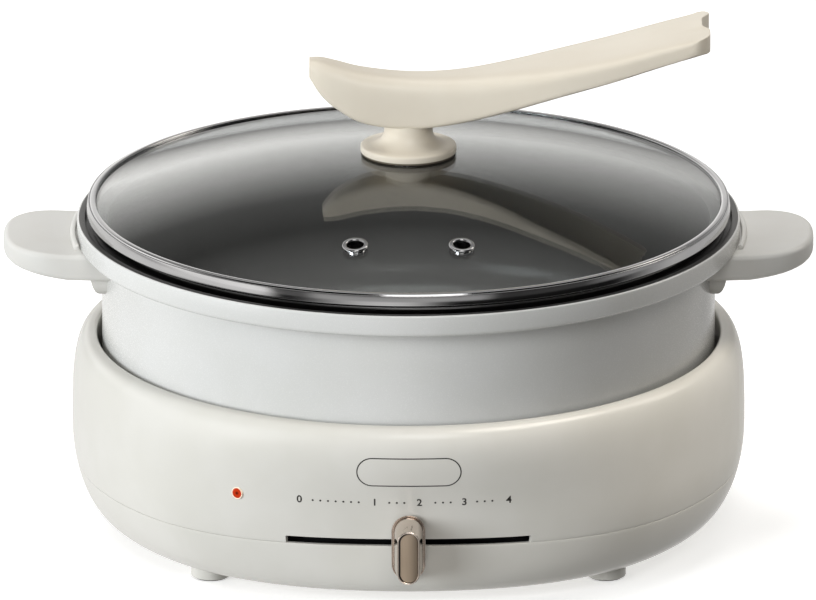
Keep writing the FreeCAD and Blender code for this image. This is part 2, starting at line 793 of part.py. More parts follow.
def make_sensor_button():
    """The cap that the pan presses down, with its guide stem."""
    top, radius = sensor_top(), SENSOR_CAP_RADIUS
    cap_bottom = top - SENSOR_CAP_HEIGHT
    return (
        Outline(0, cap_bottom - SENSOR_STEM_LENGTH)
        .line(SENSOR_STEM_RADIUS, cap_bottom - SENSOR_STEM_LENGTH)
        .line(SENSOR_STEM_RADIUS, cap_bottom)
        .line(radius, cap_bottom)
        .line(radius, top - SENSOR_CAP_ROUND)
        .arc(radius - SENSOR_CAP_ROUND, top - SENSOR_CAP_ROUND, radius - SENSOR_CAP_ROUND, top)
        .line(0, top)
        .turned()
    )


def make_sensor_holder():
    """A cup under the plate's bore that guides the sensor's stem and carries its spring."""
    outer, bore = PLATE_BORE + 2 * HOLDER_WALL, SENSOR_STEM_RADIUS + HOLDER_BORE_CLEARANCE
    inner = outer - HOLDER_WALL
    floor = holder_floor()
    return (
        Outline(bore, floor - HOLDER_WALL)
        .line(outer, floor - HOLDER_WALL)
        .line(outer, PLATE_BOTTOM)
        .line(inner, PLATE_BOTTOM)
        .line(inner, floor)
        .line(bore, floor)
        .turned()
    )


def make_sensor_spring():
    """A coil between the holder's floor and the button's cap."""
    bottom = holder_floor() + SPRING_WIRE
    top = sensor_top() - SENSOR_CAP_HEIGHT - SPRING_WIRE
    pitch = (top - bottom) / SPRING_TURNS
    helix = Part.makeHelix(pitch, top - bottom, SPRING_RADIUS)
    helix.translate(Vector(0, 0, bottom))
    start = Vector(SPRING_RADIUS, 0, bottom)
    heading = Vector(0, 2 * math.pi * SPRING_RADIUS, pitch)
    section = Part.Wire(Part.makeCircle(SPRING_WIRE, start, heading))
    return Part.Wire(helix).makePipeShell([section], True, True)


# ------------------------------------------------------------------------------ heat control
def rail_front():
    """The front face of the slide switch, behind the middle of the flattened front."""
    return shell_point(0, SLOT_MIDDLE).y + RAIL_SETBACK


def make_slider_rail():
    """The slide switch's body, with a groove for the carriage's tongue."""
    front = rail_front()
    low, high = SLOT_MIDDLE - RAIL_HEIGHT / 2, SLOT_MIDDLE + RAIL_HEIGHT / 2
    body = block((-RAIL_HALF_LENGTH, RAIL_HALF_LENGTH), (front, front + RAIL_DEPTH), (low, high))
    groove_half = TONGUE_HEIGHT / 2 + SLIDE_GAP
    groove = block(
        (-RAIL_HALF_LENGTH - OVERCUT, RAIL_HALF_LENGTH + OVERCUT),
        (front - OVERCUT, front + TONGUE_DEPTH + 2 * SLIDE_GAP),
        (SLOT_MIDDLE - groove_half, SLOT_MIDDLE + groove_half),
    )
    pillars = [
        block(
            sorted((side * RAIL_HALF_LENGTH, side * (RAIL_HALF_LENGTH - RAIL_DEPTH / 2))),
            (front + RAIL_DEPTH / 2, front + RAIL_DEPTH),
            (board_top(), low),
        )
        for side in (-1, 1)
    ]
    return body.cut(groove).fuse(pillars)


def carriage_front():
    return rail_front() - SLIDE_GAP - CARRIAGE_DEPTH


def make_slider_carriage():
    """The block that runs along the slide switch, with the stem that leaves through the slot."""
    back = rail_front() - SLIDE_GAP
    half, rise = CARRIAGE_WIDTH / 2, CARRIAGE_HEIGHT / 2
    body = block(
        (-half, half), (carriage_front(), back), (SLOT_MIDDLE - rise, SLOT_MIDDLE + rise)
    )
    tongue = block(
        (-half, half),
        (back, back + TONGUE_DEPTH),
        (SLOT_MIDDLE - TONGUE_HEIGHT / 2, SLOT_MIDDLE + TONGUE_HEIGHT / 2),
    )
    stem = block(
        (-STEM_WIDTH / 2, STEM_WIDTH / 2),
        (knob_back() + KNOB_PLATE_THICKNESS, carriage_front()),
        (SLOT_MIDDLE - STEM_HEIGHT / 2, SLOT_MIDDLE + STEM_HEIGHT / 2),
    )
    return body.fuse([tongue, stem])


def knob_back():
    """The depth of the knob's plate at the slot, just clear of the shell at every height."""
    half = KNOB_HEIGHT / 2
    slope = math.tan(math.radians(KNOB_TILT))
    steps = [half * index / 6 for index in range(-6, 7)]
    reach = [-shell_point(0, SLOT_MIDDLE + step).y - step * slope for step in steps]
    clear = max(reach) + KNOB_SHELL_GAP / math.cos(math.radians(KNOB_TILT))
    return -clear - KNOB_PLATE_THICKNESS


def place_knob(shape):
    """Lean a knob piece, drawn upright with its plate's front at Y = 0, along the shell."""
    shape.rotate(Vector(0, 0, 0), X_AXIS, KNOB_TILT)
    shape.translate(Vector(0, knob_back(), SLOT_MIDDLE))
    return shape


def make_slider_knob():
    """A pill-shaped plate with a body that narrows to an upright pill-shaped face."""
    plate_face = Part.Face(pill_wire(KNOB_WIDTH, KNOB_HEIGHT, 0))
    plate = place_knob(plate_face.extrude(Vector(0, KNOB_PLATE_THICKNESS, 0)))
    margin = 2 * KNOB_BODY_MARGIN
    root = place_knob(pill_wire(KNOB_WIDTH - margin, KNOB_HEIGHT - margin, 0))
    face = pill_wire(KNOB_FACE_WIDTH, KNOB_FACE_HEIGHT, knob_face_depth())
    face.translate(Vector(0, 0, SLOT_MIDDLE))
    body = Part.makeLoft([root, face], True, True)
    return plate.fuse(body).cut([knob_insert_space(), stem_space()])


def stem_space():
    """The pocket in the knob's plate that takes the end of the carriage's stem."""
    return block(
        (-STEM_WIDTH / 2, STEM_WIDTH / 2),
        (knob_back() + KNOB_PLATE_THICKNESS, 0),
        (SLOT_MIDDLE - STEM_HEIGHT / 2, SLOT_MIDDLE + STEM_HEIGHT / 2),
    )


def knob_face_depth():
    return knob_back() - KNOB_REACH


def insert_prism(front, back):
    outline = pill_wire(KNOB_FACE_WIDTH - 2 * INSERT_MARGIN, KNOB_FACE_HEIGHT - 2 * INSERT_MARGIN, 0)
    prism = Part.Face(outline).extrude(Vector(0, back - front, 0))
    prism.translate(Vector(0, knob_face_depth() + front, SLOT_MIDDLE))
    return prism


def knob_insert_space():
    return insert_prism(-OVERCUT, INSERT_SINK + INSERT_THICKNESS)


def make_knob_insert():
    """The plain pill-shaped plate let into the knob's face."""
    return insert_prism(INSERT_SINK, INSERT_SINK + INSERT_THICKNESS)


# ------------------------------------------------------------------------------ control board
def board_top():
    return SLOT_MIDDLE - RAIL_HEIGHT / 2 - BOARD_THICKNESS


def board_bottom():
    return board_top() - BOARD_THICKNESS


def board_front():
    return rail_front() + RAIL_DEPTH / 2 - BOARD_THICKNESS


def board_screw_places():
    half, inset = BOARD_HALF_LENGTH, BOARD_SCREW_INSET
    front, back = board_front() + 2 * inset, board_front() + BOARD_WIDTH - inset
    return [(side * (half - inset), y) for side in (-1, 1) for y in (front, back)]


def make_control_board():
    board = block(
        (-BOARD_HALF_LENGTH, BOARD_HALF_LENGTH),
        (board_front(), board_front() + BOARD_WIDTH),
        (board_bottom(), board_top()),
    )
    holes = [
        cylinder(BOARD_SCREW_RADIUS, board_bottom() - OVERCUT, board_top() + OVERCUT, x, y)
        for x, y in board_screw_places()
    ]
    return board.cut(holes)


def make_board_components():
    """A relay and two capacitors, standing on the board."""
    top, middle = board_top(), board_front() + COMPONENT_SETBACK
    relay = block(
        (-RELAY_LENGTH / 2, RELAY_LENGTH / 2),
        (middle - RELAY_WIDTH / 2, middle + RELAY_WIDTH / 2),
        (top, top + RELAY_HEIGHT),
    )
    capacitors = [
        cylinder(CAPACITOR_RADIUS, top, top + CAPACITOR_HEIGHT, side * COMPONENT_PITCH, middle)
        for side in (-1, 1)
    ]
    return Part.makeCompound([relay] + capacitors)


def make_board_screws():
    screws = []
    for x, y in board_screw_places():
        top = board_top()
        head = cylinder(BOARD_SCREW_HEAD_RADIUS, top, top + BOARD_SCREW_HEAD_HEIGHT, x, y)
        shank = cylinder(BOARD_SCREW_RADIUS, top - BOARD_SCREW_LENGTH, top, x, y)
        screws.append(head.fuse(shank))
    return Part.makeCompound(screws)


# ------------------------------------------------------------------------------ indicator
def make_indicator_lens():
    """A small round lens with a crowned face, and the light guide that drops behind it."""
    lens = lens_rod(LENS_RADIUS, -GUIDE_DEPTH, LENS_PROUD)
    point, outward = lens_line()
    front = point + outward * LENS_PROUD
    rims = [edge for edge in lens.Edges if edge.CenterOfMass.distanceToPoint(front) < 1e-6]
    lens = lens.makeFillet(LENS_ROUND, rims)
    low = LENS_HEIGHT - GUIDE_DROP
    guide_front = -(GUIDE_DEPTH - GUIDE_THICKNESS)
    drop = lens_block(GUIDE_WIDTH, -GUIDE_DEPTH, guide_front, low, LENS_HEIGHT)
    foot = lens_block(
        GUIDE_WIDTH, -GUIDE_DEPTH - GUIDE_FOOT, guide_front, low, low + GUIDE_THICKNESS
    )
    return lens.fuse([drop, foot])


def make_indicator_led():
    """The lamp that stands on the small board, under the foot of the light guide."""
    point, outward = lens_line()
    place = point - outward * (GUIDE_DEPTH + GUIDE_FOOT / 2)
    return cylinder(LED_RADIUS, led_board_top(), led_board_top() + LED_HEIGHT, place.x, place.y)


def make_indicator_board():
    outer, top = led_board_reach(), led_board_top()
    inner, bottom = outer - LED_BOARD_SIZE, top - LED_BOARD_THICKNESS
    return lens_block(LED_BOARD_SIZE, inner, outer, bottom, top)


# ------------------------------------------------------------------------------ power inlet
def pin_places():
    return [(step * PIN_SPACING, INLET_MIDDLE) for step in (-1, 0, 1)]


def make_power_inlet():
    """A socket housing with a flange, open to the back, whose inner end carries the pins."""
    flange_back = INLET_FLANGE_PROUD - INLET_FLANGE_THICKNESS
    body = inlet_box(0, -INLET_DEPTH, INLET_FLANGE_PROUD)
    flange = inlet_box(INLET_FLANGE_MARGIN, flange_back, INLET_FLANGE_PROUD)
    cavity = inlet_box(-INLET_WALL, -INLET_DEPTH + INLET_END_WALL, INLET_FLANGE_PROUD + OVERCUT)
    corners = [edge for edge in flange.Edges if is_along_y(edge)]
    flange = flange.makeFillet(INLET_FLANGE_MARGIN, corners)
    pins = [pin_rod(x, z) for x, z in pin_places()]
    return body.fuse(flange).cut([cavity] + pins)


def is_along_y(edge):
    box = edge.BoundBox
    return box.XLength < 1e-6 and box.ZLength < 1e-6


def pin_start():
    """The inner ends of the pins, where the leads begin."""
    return BELLY_RADIUS - INLET_DEPTH - PIN_TAIL


def pin_rod(x, z):
    length = PIN_TAIL + INLET_END_WALL + PIN_LENGTH
    return Part.makeCylinder(PIN_RADIUS, length, Vector(x, pin_start(), z), Y_AXIS)


def make_inlet_pins():
    return Part.makeCompound([pin_rod(x, z) for x, z in pin_places()])


# ------------------------------------------------------------------------------ leads
def lead_floor():
    """The middle of a lead that lies just over the lower shell's floor."""
    return FLOOR_TOP + LEAD_RADIUS + LEAD_FLOOR_GAP


def make_heater_leads():
    """Two insulated leads from the heating tube's ends down and forward to the board."""
    tail, low = TUBE_HEIGHT - TUBE_TAIL_LENGTH, lead_floor() + 2 * LEAD_RADIUS
    board_y = board_front() + BOARD_WIDTH - HEATER_LEAD_INSET
    leads = []
    for (x, y), side in zip(tube_ends(), (1, -1)):
        run_x = side * HEATER_LEAD_SPREAD
        route = [(x, y, tail), (x, y, low), (run_x, board_y, low), (run_x, board_y, board_bottom())]
        leads.append(lead(route, LEAD_RADIUS, LEAD_BEND))
    return Part.makeCompound(leads)


def make_inlet_leads():
    """Three leads from the inlet's pins, dropping to the floor and running forward."""
    start, low = pin_start(), lead_floor()
    turn, board_y = start - LEAD_DROP_SETBACK, board_front() + BOARD_WIDTH - LEAD_BOARD_INSET
    leads = []
    for x, z in pin_places():
        route = [(x, start, z), (x, turn, z), (x, turn, low), (x, board_y, low),
                 (x, board_y, board_bottom())]
        leads.append(lead(route, LEAD_RADIUS, LEAD_BEND))
    return Part.makeCompound(leads)


# ------------------------------------------------------------------------------ pan
def make_pan_body():
    """The pan: a flat bottom, a round corner, a straight wall and the thick band at its rim."""
    corner, wall, skin, under = PAN_CORNER, PAN_WALL, LINING_THICKNESS, PAN_UNDERSIDE
    bend = PAN_RADIUS - corner
    seat, step = LID_SEAT - skin, RIM_INNER_RADIUS + skin
    top, low_round, top_round = PAN_TOP, PAN_BAND_ROUND, PAN_BAND_TOP_ROUND
    return (
        Outline(0, under)
        .line(bend, under)
        .arc(bend, under + corner, PAN_RADIUS, under + corner)
        .line(PAN_RADIUS, BAND_BOTTOM)
        .line(BAND_RADIUS - low_round, BAND_BOTTOM)
        .arc(BAND_RADIUS - low_round, BAND_BOTTOM + low_round, BAND_RADIUS, BAND_BOTTOM + low_round)
        .line(BAND_RADIUS, top - top_round)
        .arc(BAND_RADIUS - top_round, top - top_round, BAND_RADIUS - top_round, top)
        .line(BAND_RADIUS - top_round, top - skin)
        .line(step, top - skin)
        .line(step, seat)
        .line(PAN_BORE, seat)
        .line(PAN_BORE, under + corner)
        .arc(bend, under + corner, bend, under + wall)
        .line(0, under + wall)
        .turned()
    )


def make_pan_lining():
    """The dark non-stick coating over the pan's inside, its lid seat and its flat rim."""
    skin, corner = LINING_THICKNESS, PAN_CORNER
    floor = PAN_UNDERSIDE + PAN_WALL
    bend = PAN_RADIUS - corner
    level = PAN_UNDERSIDE + corner
    seat, step = LID_SEAT - skin, RIM_INNER_RADIUS + skin
    rim_edge = BAND_RADIUS - PAN_BAND_TOP_ROUND
    return (
        Outline(0, floor)
        .line(bend, floor)
        .arc(bend, level, PAN_BORE, level)
        .line(PAN_BORE, seat)
        .line(step, seat)
        .line(step, PAN_TOP - skin)
        .line(rim_edge, PAN_TOP - skin)
        .line(rim_edge, PAN_TOP)
        .line(RIM_INNER_RADIUS, PAN_TOP)
        .line(RIM_INNER_RADIUS, LID_SEAT)
        .line(PAN_BORE - skin, LID_SEAT)
        .line(PAN_BORE - skin, level)
        .arc(bend, level, bend, floor + skin)
        .line(0, floor + skin)
        .turned()
    )


def make_base_disc():
    """The flat steel disc bonded under the pan, which rests on the heating plate."""
    disc = cylinder(BASE_DISC_RADIUS, PAN_SEAT_HEIGHT, PAN_UNDERSIDE)
    rims = [edge for edge in disc.Edges if is_circle(edge, BASE_DISC_RADIUS, PAN_SEAT_HEIGHT)]
    return disc.makeChamfer(BASE_DISC_THICKNESS / 3, rims)


# ------------------------------------------------------------------------------ pan handles
def handle_top():
    return BAND_BOTTOM + HANDLE_LIFT


def bracket_middle():
    return handle_top() - HANDLE_ROOT_THICKNESS / 2


def make_right_wing():
    """The flat part of the right handle, thinner at its tip and well rounded in plan."""
    tip, root, half = BAND_RADIUS + HANDLE_LENGTH, PAN_RADIUS - OVERCUT, HANDLE_HALF_WIDTH
    corner, top = HANDLE_CORNER, handle_top()
    plan = Part.Wire([
        Part.makeLine(Vector(root, -half, 0), Vector(tip - corner, -half, 0)),
        corner_arc(tip - corner, -half + corner, corner, -1),
        Part.makeLine(Vector(tip, -half + corner, 0), Vector(tip, half - corner, 0)),
        corner_arc(tip - corner, half - corner, corner, 1),
        Part.makeLine(Vector(tip - corner, half, 0), Vector(root, half, 0)),
        Part.makeLine(Vector(root, half, 0), Vector(root, -half, 0)),
    ])
    prism = Part.Face(plan).extrude(Vector(0, 0, top + OVERCUT))
    side = (
        Outline(root, top - HANDLE_ROOT_THICKNESS)
        .line(BAND_RADIUS, top - HANDLE_ROOT_THICKNESS)
        .line(tip, top - HANDLE_TIP_THICKNESS)
        .line(tip, top)
        .line(root, top)
        .extruded(half)
    )
    wing = prism.common(side).removeSplitter()
    rims = [edge for edge in wing.Edges if is_outer_rim(edge, root, top)]
    return wing.makeFillet(HANDLE_EDGE_ROUND, rims)


def corner_arc(x, y, radius, side):
    """A quarter circle of the handle's plan, on its front (-1) or back (1) side."""
    diagonal = radius / math.sqrt(2)
    middle = Vector(x + diagonal, y + side * diagonal, 0)
    level, across = Vector(x + radius, y, 0), Vector(x, y + side * radius, 0)
    ends = (across, level) if side < 0 else (level, across)
    return Part.Arc(ends[0], middle, ends[1]).toShape()


def is_outer_rim(edge, root, top):
    """Whether an edge of the wing runs round its top or bottom outline, clear of the pan."""
    box = edge.BoundBox
    on_top = box.ZMin > top - 1e-6
    on_bottom = box.ZMax < top - HANDLE_TIP_THICKNESS + 1e-6
    across_root = box.XMax < root + 1e-6
    inner_fold = box.XLength < 1e-6 and box.XMax < BAND_RADIUS + HANDLE_LENGTH - 1e-6
    return (on_top or on_bottom) and not across_root and not inner_fold


def make_right_pad():
    """The rounded part of the right handle that lies against the pan's wall."""
    top, half, lobe = handle_top(), HANDLE_PAD_HALF_WIDTH, HANDLE_PAD_ROUND
    shoulder = top - HANDLE_ROOT_THICKNESS
    bottom, outer = shoulder - HANDLE_PAD_DROP, PAN_RADIUS + HANDLE_PAD_REACH
    inner = PAN_RADIUS - half * half / PAN_RADIUS
    profile = (
        Outline(inner, bottom)
        .line(PAN_RADIUS + 0.2 * HANDLE_PAD_REACH, bottom)
        .curve(
            (PAN_RADIUS + 0.55 * HANDLE_PAD_REACH, bottom + 0.3 * HANDLE_PAD_DROP),
            (outer, shoulder),
        )
        .line(outer, bracket_middle())
        .line(inner, bracket_middle())
        .extruded(half)
    )
    front = block((inner - OVERCUT, outer + OVERCUT), (-half, half), (bottom, top))
    corners = [
        edge for edge in front.Edges
        if edge.BoundBox.ZMax < bottom + 1e-6 and edge.BoundBox.YLength < 1e-6
    ]
    return profile.common(front.makeFillet(lobe, corners))


def make_right_collar():
    """The raised lip at the root of the wing, which follows the pan's band with a gap."""
    inner = BAND_RADIUS + COLLAR_GAP
    top = handle_top() + COLLAR_RISE
    ring = tube(inner + COLLAR_THICKNESS, inner, handle_top() - HANDLE_EDGE_ROUND, top)
    reach = block((0, BAND_RADIUS + OVERCUT), (-COLLAR_HALF_WIDTH, COLLAR_HALF_WIDTH), (0, PAN_TOP))
    return ring.common(reach)


def make_handle(side):
    """One handle: its wing, pad and collar, hollowed for the pan, the bracket and the screws."""
    handle = make_right_wing().fuse([make_right_pad(), make_right_collar()])
    pan = cylinder(PAN_RADIUS, 0, BAND_BOTTOM).fuse(
        cylinder(BAND_RADIUS, BAND_BOTTOM, PAN_TOP)
    )
    screws = [
        cylinder(HANDLE_SCREW_RADIUS, 0, bracket_middle(), x, y)
        .fuse(cylinder(HANDLE_SCREW_HEAD_RADIUS, 0, handle_screw_head_top(), x, y))
        for x, y in handle_screw_places()
    ]
    handle = handle.cut([pan, make_right_bracket()] + screws)
    return to_side(handle, side)


def to_side(shape, side):
    """A piece drawn for the right side, turned half round for the left."""
    if side < 0:
        shape.rotate(Vector(0, 0, 0), Z_AXIS, 180)
    return shape


def make_right_bracket():
    """The steel tab welded to the pan's wall, inside the handle."""
    middle, half = bracket_middle(), BRACKET_HALF_WIDTH
    tab = block(
        (PAN_RADIUS - half, PAN_RADIUS + BRACKET_LENGTH),
        (-half, half),
        (middle - BRACKET_THICKNESS / 2, middle + BRACKET_THICKNESS / 2),
    )
    return tab.cut(cylinder(PAN_RADIUS, 0, PAN_TOP))


def handle_screw_places():
    x = PAN_RADIUS + BRACKET_LENGTH - 2 * HANDLE_SCREW_HEAD_RADIUS
    return [(x, side * HANDLE_SCREW_SPACING / 2) for side in (-1, 1)]


def handle_screw_head_top():
    """Screw heads sit in counterbores in the handle's underside."""
    return handle_top() - HANDLE_ROOT_THICKNESS + HANDLE_SCREW_HEAD_HEIGHT + HANDLE_SCREW_SINK


def make_handle_bracket(side):
    holes = [cylinder(HANDLE_SCREW_RADIUS, 0, PAN_TOP, x, y) for x, y in handle_screw_places()]
    return to_side(make_right_bracket().cut(holes), side)


def make_handle_screws():
    screws = []
    head_top = handle_screw_head_top()
    for side in (-1, 1):
        for x, y in handle_screw_places():
            head = cylinder(
                HANDLE_SCREW_HEAD_RADIUS, head_top - HANDLE_SCREW_HEAD_HEIGHT, head_top, x, y
            )
            shank = cylinder(
                HANDLE_SCREW_RADIUS, head_top, bracket_middle() + BRACKET_THICKNESS / 2, x, y
            )
            screws.append(to_side(head.fuse(shank), side))
    return Part.makeCompound(screws)


# ------------------------------------------------------------------------------ lid glass and rim
def dome_height(radius, depth=0.0):
    """Height of the dome at a radius, or of the ball face a depth inside it."""
    ball = DOME_RADIUS - depth
    return DOME_CENTRE + math.sqrt(ball * ball - radius * radius)


def glass_solid():
    """The domed glass with no holes in it."""
    edge_low = dome_height(GLASS_RADIUS, GLASS_THICKNESS)
    cap = cylinder(GLASS_RADIUS, edge_low - GLASS_THICKNESS, DOME_TOP + OVERCUT)
    outer = Part.makeSphere(DOME_RADIUS, Vector(0, 0, DOME_CENTRE))
    inner = Part.makeSphere(DOME_RADIUS - GLASS_THICKNESS, Vector(0, 0, DOME_CENTRE))
    return cap.common(outer).cut(inner)


def dome_normal(x, y):
    height = dome_height(math.hypot(x, y))
    return Vector(x, y, height - DOME_CENTRE).normalize()


def on_dome(shape, x, y):
    """Stand a piece, drawn about the Z axis, square on the dome with its origin on the glass."""
    normal = dome_normal(x, y)
    point = Vector(x, y, dome_height(math.hypot(x, y)))
    shape.Placement = FreeCAD.Placement(point, Rotation(Z_AXIS, normal))
    return shape


def vent_places():
    forward = GLASS_RADIUS - VENT_EDGE_DISTANCE
    return {"left": (-VENT_ACROSS, -forward), "right": (VENT_ACROSS, -forward)}


def make_lid_glass():
    glass = glass_solid()
    holes = [
        on_dome(cylinder(VENT_SHANK_RADIUS, -2 * GLASS_THICKNESS, OVERCUT), x, y)
        for x, y in vent_places().values()
    ]
    screw_hole = cylinder(KNOB_SCREW_RADIUS + SCREW_CLEARANCE, PAN_TOP, DOME_TOP + OVERCUT)
    return glass.cut(holes + [screw_hole])


def make_vent_grommet(x, y):
    """A flanged eyelet through the glass, with the steam hole down its middle."""
    low, proud, edge = -GLASS_THICKNESS, VENT_PROUD, VENT_ROUND
    grommet = (
        Outline(VENT_BORE, low - proud)
        .line(VENT_RADIUS - edge, low - proud)
        .line(VENT_RADIUS - edge, low)
        .line(VENT_SHANK_RADIUS, low)
        .line(VENT_SHANK_RADIUS, 0)
        .line(VENT_RADIUS, 0)
        .line(VENT_RADIUS, proud - edge)
        .arc(VENT_RADIUS - edge, proud - edge, VENT_RADIUS - edge, proud)
        .line(VENT_BORE, proud)
        .turned()
    )
    whole = on_dome(grommet, x, y)
    return whole.cut(glass_ring_under_vent(x, y))


def glass_ring_under_vent(x, y):
    """The glass round one vent, so that the eyelet's flanges end on its curved faces."""
    hole = on_dome(cylinder(VENT_SHANK_RADIUS, -2 * GLASS_THICKNESS, OVERCUT), x, y)
    return glass_solid().cut(hole)


def make_lid_rim():
    """The steel band that grips the edge of the glass and sits inside the pan's rim."""
    face_low = PAN_TOP + RIM_FACE_BASE
    face_top = face_low + RIM_FACE_HEIGHT
    skirt_inner = GLASS_RADIUS - RIM_SKIRT
    inner = GLASS_RADIUS - RIM_GRIP_WIDTH
    crown = dome_height(inner) + RIM_CAP
    edge, groove = RIM_ROUND, RIM_GROOVE
    shoulder = GLASS_RADIUS + RIM_WALL / 3
    low_shelf = face_low - RIM_SKIRT_DROP / 2
    ring = (
        Outline(skirt_inner, LID_BOTTOM)
        .line(GLASS_RADIUS, LID_BOTTOM)
        .line(GLASS_RADIUS, low_shelf)
        .line(LID_RADIUS - edge, face_low)
        .arc(LID_RADIUS - edge, face_low + edge, LID_RADIUS, face_low + edge)
        .line(LID_RADIUS, face_top - edge)
        .arc(LID_RADIUS - edge, face_top - edge, LID_RADIUS - edge, face_top)
        .line(shoulder + groove, face_top)
        .line(shoulder, face_top - groove)
        .line(shoulder - groove, crown - edge / 2)
        .line(shoulder - 2 * groove, crown)
        .line(inner + edge, crown)
        .line(inner, crown - edge)
        .line(inner, dome_height(inner) - GLASS_THICKNESS / 2)
        .line(GLASS_RADIUS - RIM_SKIRT, dome_height(GLASS_RADIUS) - GLASS_THICKNESS / 2)
        .turned()
    )
    return ring.cut(glass_solid())


# ------------------------------------------------------------------------------ knob and grip
def make_knob_base():
    """The round flange and neck that lift the grip off the glass."""
    bottom = FLANGE_BOTTOM
    edge_top, shelf = bottom + FLANGE_EDGE, bottom + FLANGE_EDGE + FLANGE_CROWN
    neck, bend = NECK_RADIUS, NECK_FILLET
    crown_out = FLANGE_RADIUS - FLANGE_CROWN / 2
    base = (
        Outline(0, bottom)
        .line(FLANGE_RADIUS, bottom)
        .line(FLANGE_RADIUS, edge_top - FLANGE_CROWN / 4)
        .curve(
            (crown_out + FLANGE_CROWN / 4, edge_top + 0.1 * FLANGE_CROWN),
            (neck + bend + FLANGE_CROWN / 2, edge_top + 0.72 * FLANGE_CROWN),
            (neck + 0.55 * bend, shelf + 0.12 * bend),
            (neck + 0.12 * bend, shelf + 0.55 * bend),
            (neck, shelf + 1.2 * bend),
        )
        .line(neck, NECK_TOP + GRIP_BELLY / 4)
        .line(0, NECK_TOP + GRIP_BELLY / 4)
        .turned()
    )
    screw = cylinder(KNOB_SCREW_RADIUS, bottom - OVERCUT, knob_screw_top())
    return base.cut([screw, grip_form()])


def knob_screw_top():
    return NECK_TOP + KNOB_SCREW_BITE


def make_knob_gasket():
    """The thin seal between the flange and the glass."""
    disc = cylinder(GASKET_RADIUS, dome_height(GASKET_RADIUS) - GLASS_THICKNESS / 2, FLANGE_BOTTOM)
    hole = cylinder(KNOB_SCREW_RADIUS + SCREW_CLEARANCE, PAN_TOP, FLANGE_BOTTOM + OVERCUT)
    return disc.cut([glass_solid(), hole])


def seal_bottom():
    return DOME_TOP - GLASS_THICKNESS - SEAL_THICKNESS


def make_washer_seal():
    """The soft washer against the underside of the glass."""
    disc = cylinder(WASHER_RADIUS, seal_bottom(), DOME_TOP)
    hole = cylinder(KNOB_SCREW_RADIUS + SCREW_CLEARANCE, PAN_TOP, DOME_TOP + OVERCUT)
    below = Part.makeSphere(DOME_RADIUS - GLASS_THICKNESS, Vector(0, 0, DOME_CENTRE))
    return disc.common(below).cut(hole)


def make_knob_washer():
    return tube(
        WASHER_RADIUS,
        KNOB_SCREW_RADIUS + SCREW_CLEARANCE,
        seal_bottom() - WASHER_THICKNESS,
        seal_bottom(),
    )


def make_knob_screw():
    """The screw from inside the lid, up through the flange and neck into the grip."""
    seat = seal_bottom() - WASHER_THICKNESS
    head = cylinder(KNOB_SCREW_HEAD_RADIUS, seat - KNOB_SCREW_HEAD_HEIGHT, seat)
    shank = cylinder(KNOB_SCREW_RADIUS, seat, knob_screw_top())
    return head.fuse(shank)


def grip_stations():
    """Cross-sections of the grip: place along X, top, bottom, half width and squareness."""
    nose, tail = -GRIP_NOSE_REACH, GRIP_TAIL_REACH
    low = NECK_TOP - GRIP_SINK
    belly_top, nose_top, tail_top = low + GRIP_BELLY, low + GRIP_NOSE_RISE, low + GRIP_TAIL_RISE
    nose_low, tail_low = nose_top - GRIP_NOSE_THICKNESS, tail_top - GRIP_TAIL_THICKNESS
    narrow, belly, wide = GRIP_NOSE_HALF_WIDTH, GRIP_BELLY_HALF_WIDTH, GRIP_TAIL_HALF_WIDTH

    def between(start, end, share):
        return start + (end - start) * share

    return [
        (nose, nose_top, nose_low, narrow, 3.0),
        (0.88 * nose, between(belly_top, nose_top, 0.97), between(low, nose_low, 0.66),
         between(narrow, belly, 0.48), 2.8),
        (0.72 * nose, between(belly_top, nose_top, 0.72), between(low, nose_low, 0.39),
         between(narrow, belly, 0.76), 2.7),
        (0.45 * nose, between(belly_top, nose_top, 0.3), between(low, nose_low, 0.11),
         between(narrow, belly, 0.94), 2.6),
        (0.0, belly_top, low, belly, 2.6),
        (0.16 * tail, between(belly_top, tail_top, 0.02), between(low, tail_low, 0.07),
         between(belly, wide, 0.13), 2.8),
        (0.33 * tail, between(belly_top, tail_top, 0.15), between(low, tail_low, 0.24),
         between(belly, wide, 0.45), 3.2),
        (0.5 * tail, between(belly_top, tail_top, 0.32), between(low, tail_low, 0.45),
         between(belly, wide, 0.83), 3.8),
        (0.68 * tail, between(belly_top, tail_top, 0.54), between(low, tail_low, 0.65),
         between(belly, wide, 0.99), 4.4),
        (0.86 * tail, between(belly_top, tail_top, 0.81), between(low, tail_low, 0.86), wide, 4.8),
        (tail + GRIP_TRIM, tail_top, tail_low, wide, 4.8),
    ]


def grip_section(x, top, bottom, half_width, power):
    """A rounded-box outline across the grip, as one closed smooth curve."""
    count, middle, half_height = 20, (top + bottom) / 2, (top - bottom) / 2
    points = []
    for index in range(count):
        turn = 2 * math.pi * (index + 0.5) / count
        across, up = math.cos(turn), math.sin(turn)
        y = half_width * math.copysign(abs(across) ** (2 / power), across)
        z = middle + half_height * math.copysign(abs(up) ** (2 / power), up)
        points.append(Vector(x, y, z))
    curve = Part.BSplineCurve()
    curve.interpolate(Points=points, PeriodicFlag=True)
    return Part.Wire(curve.toShape())


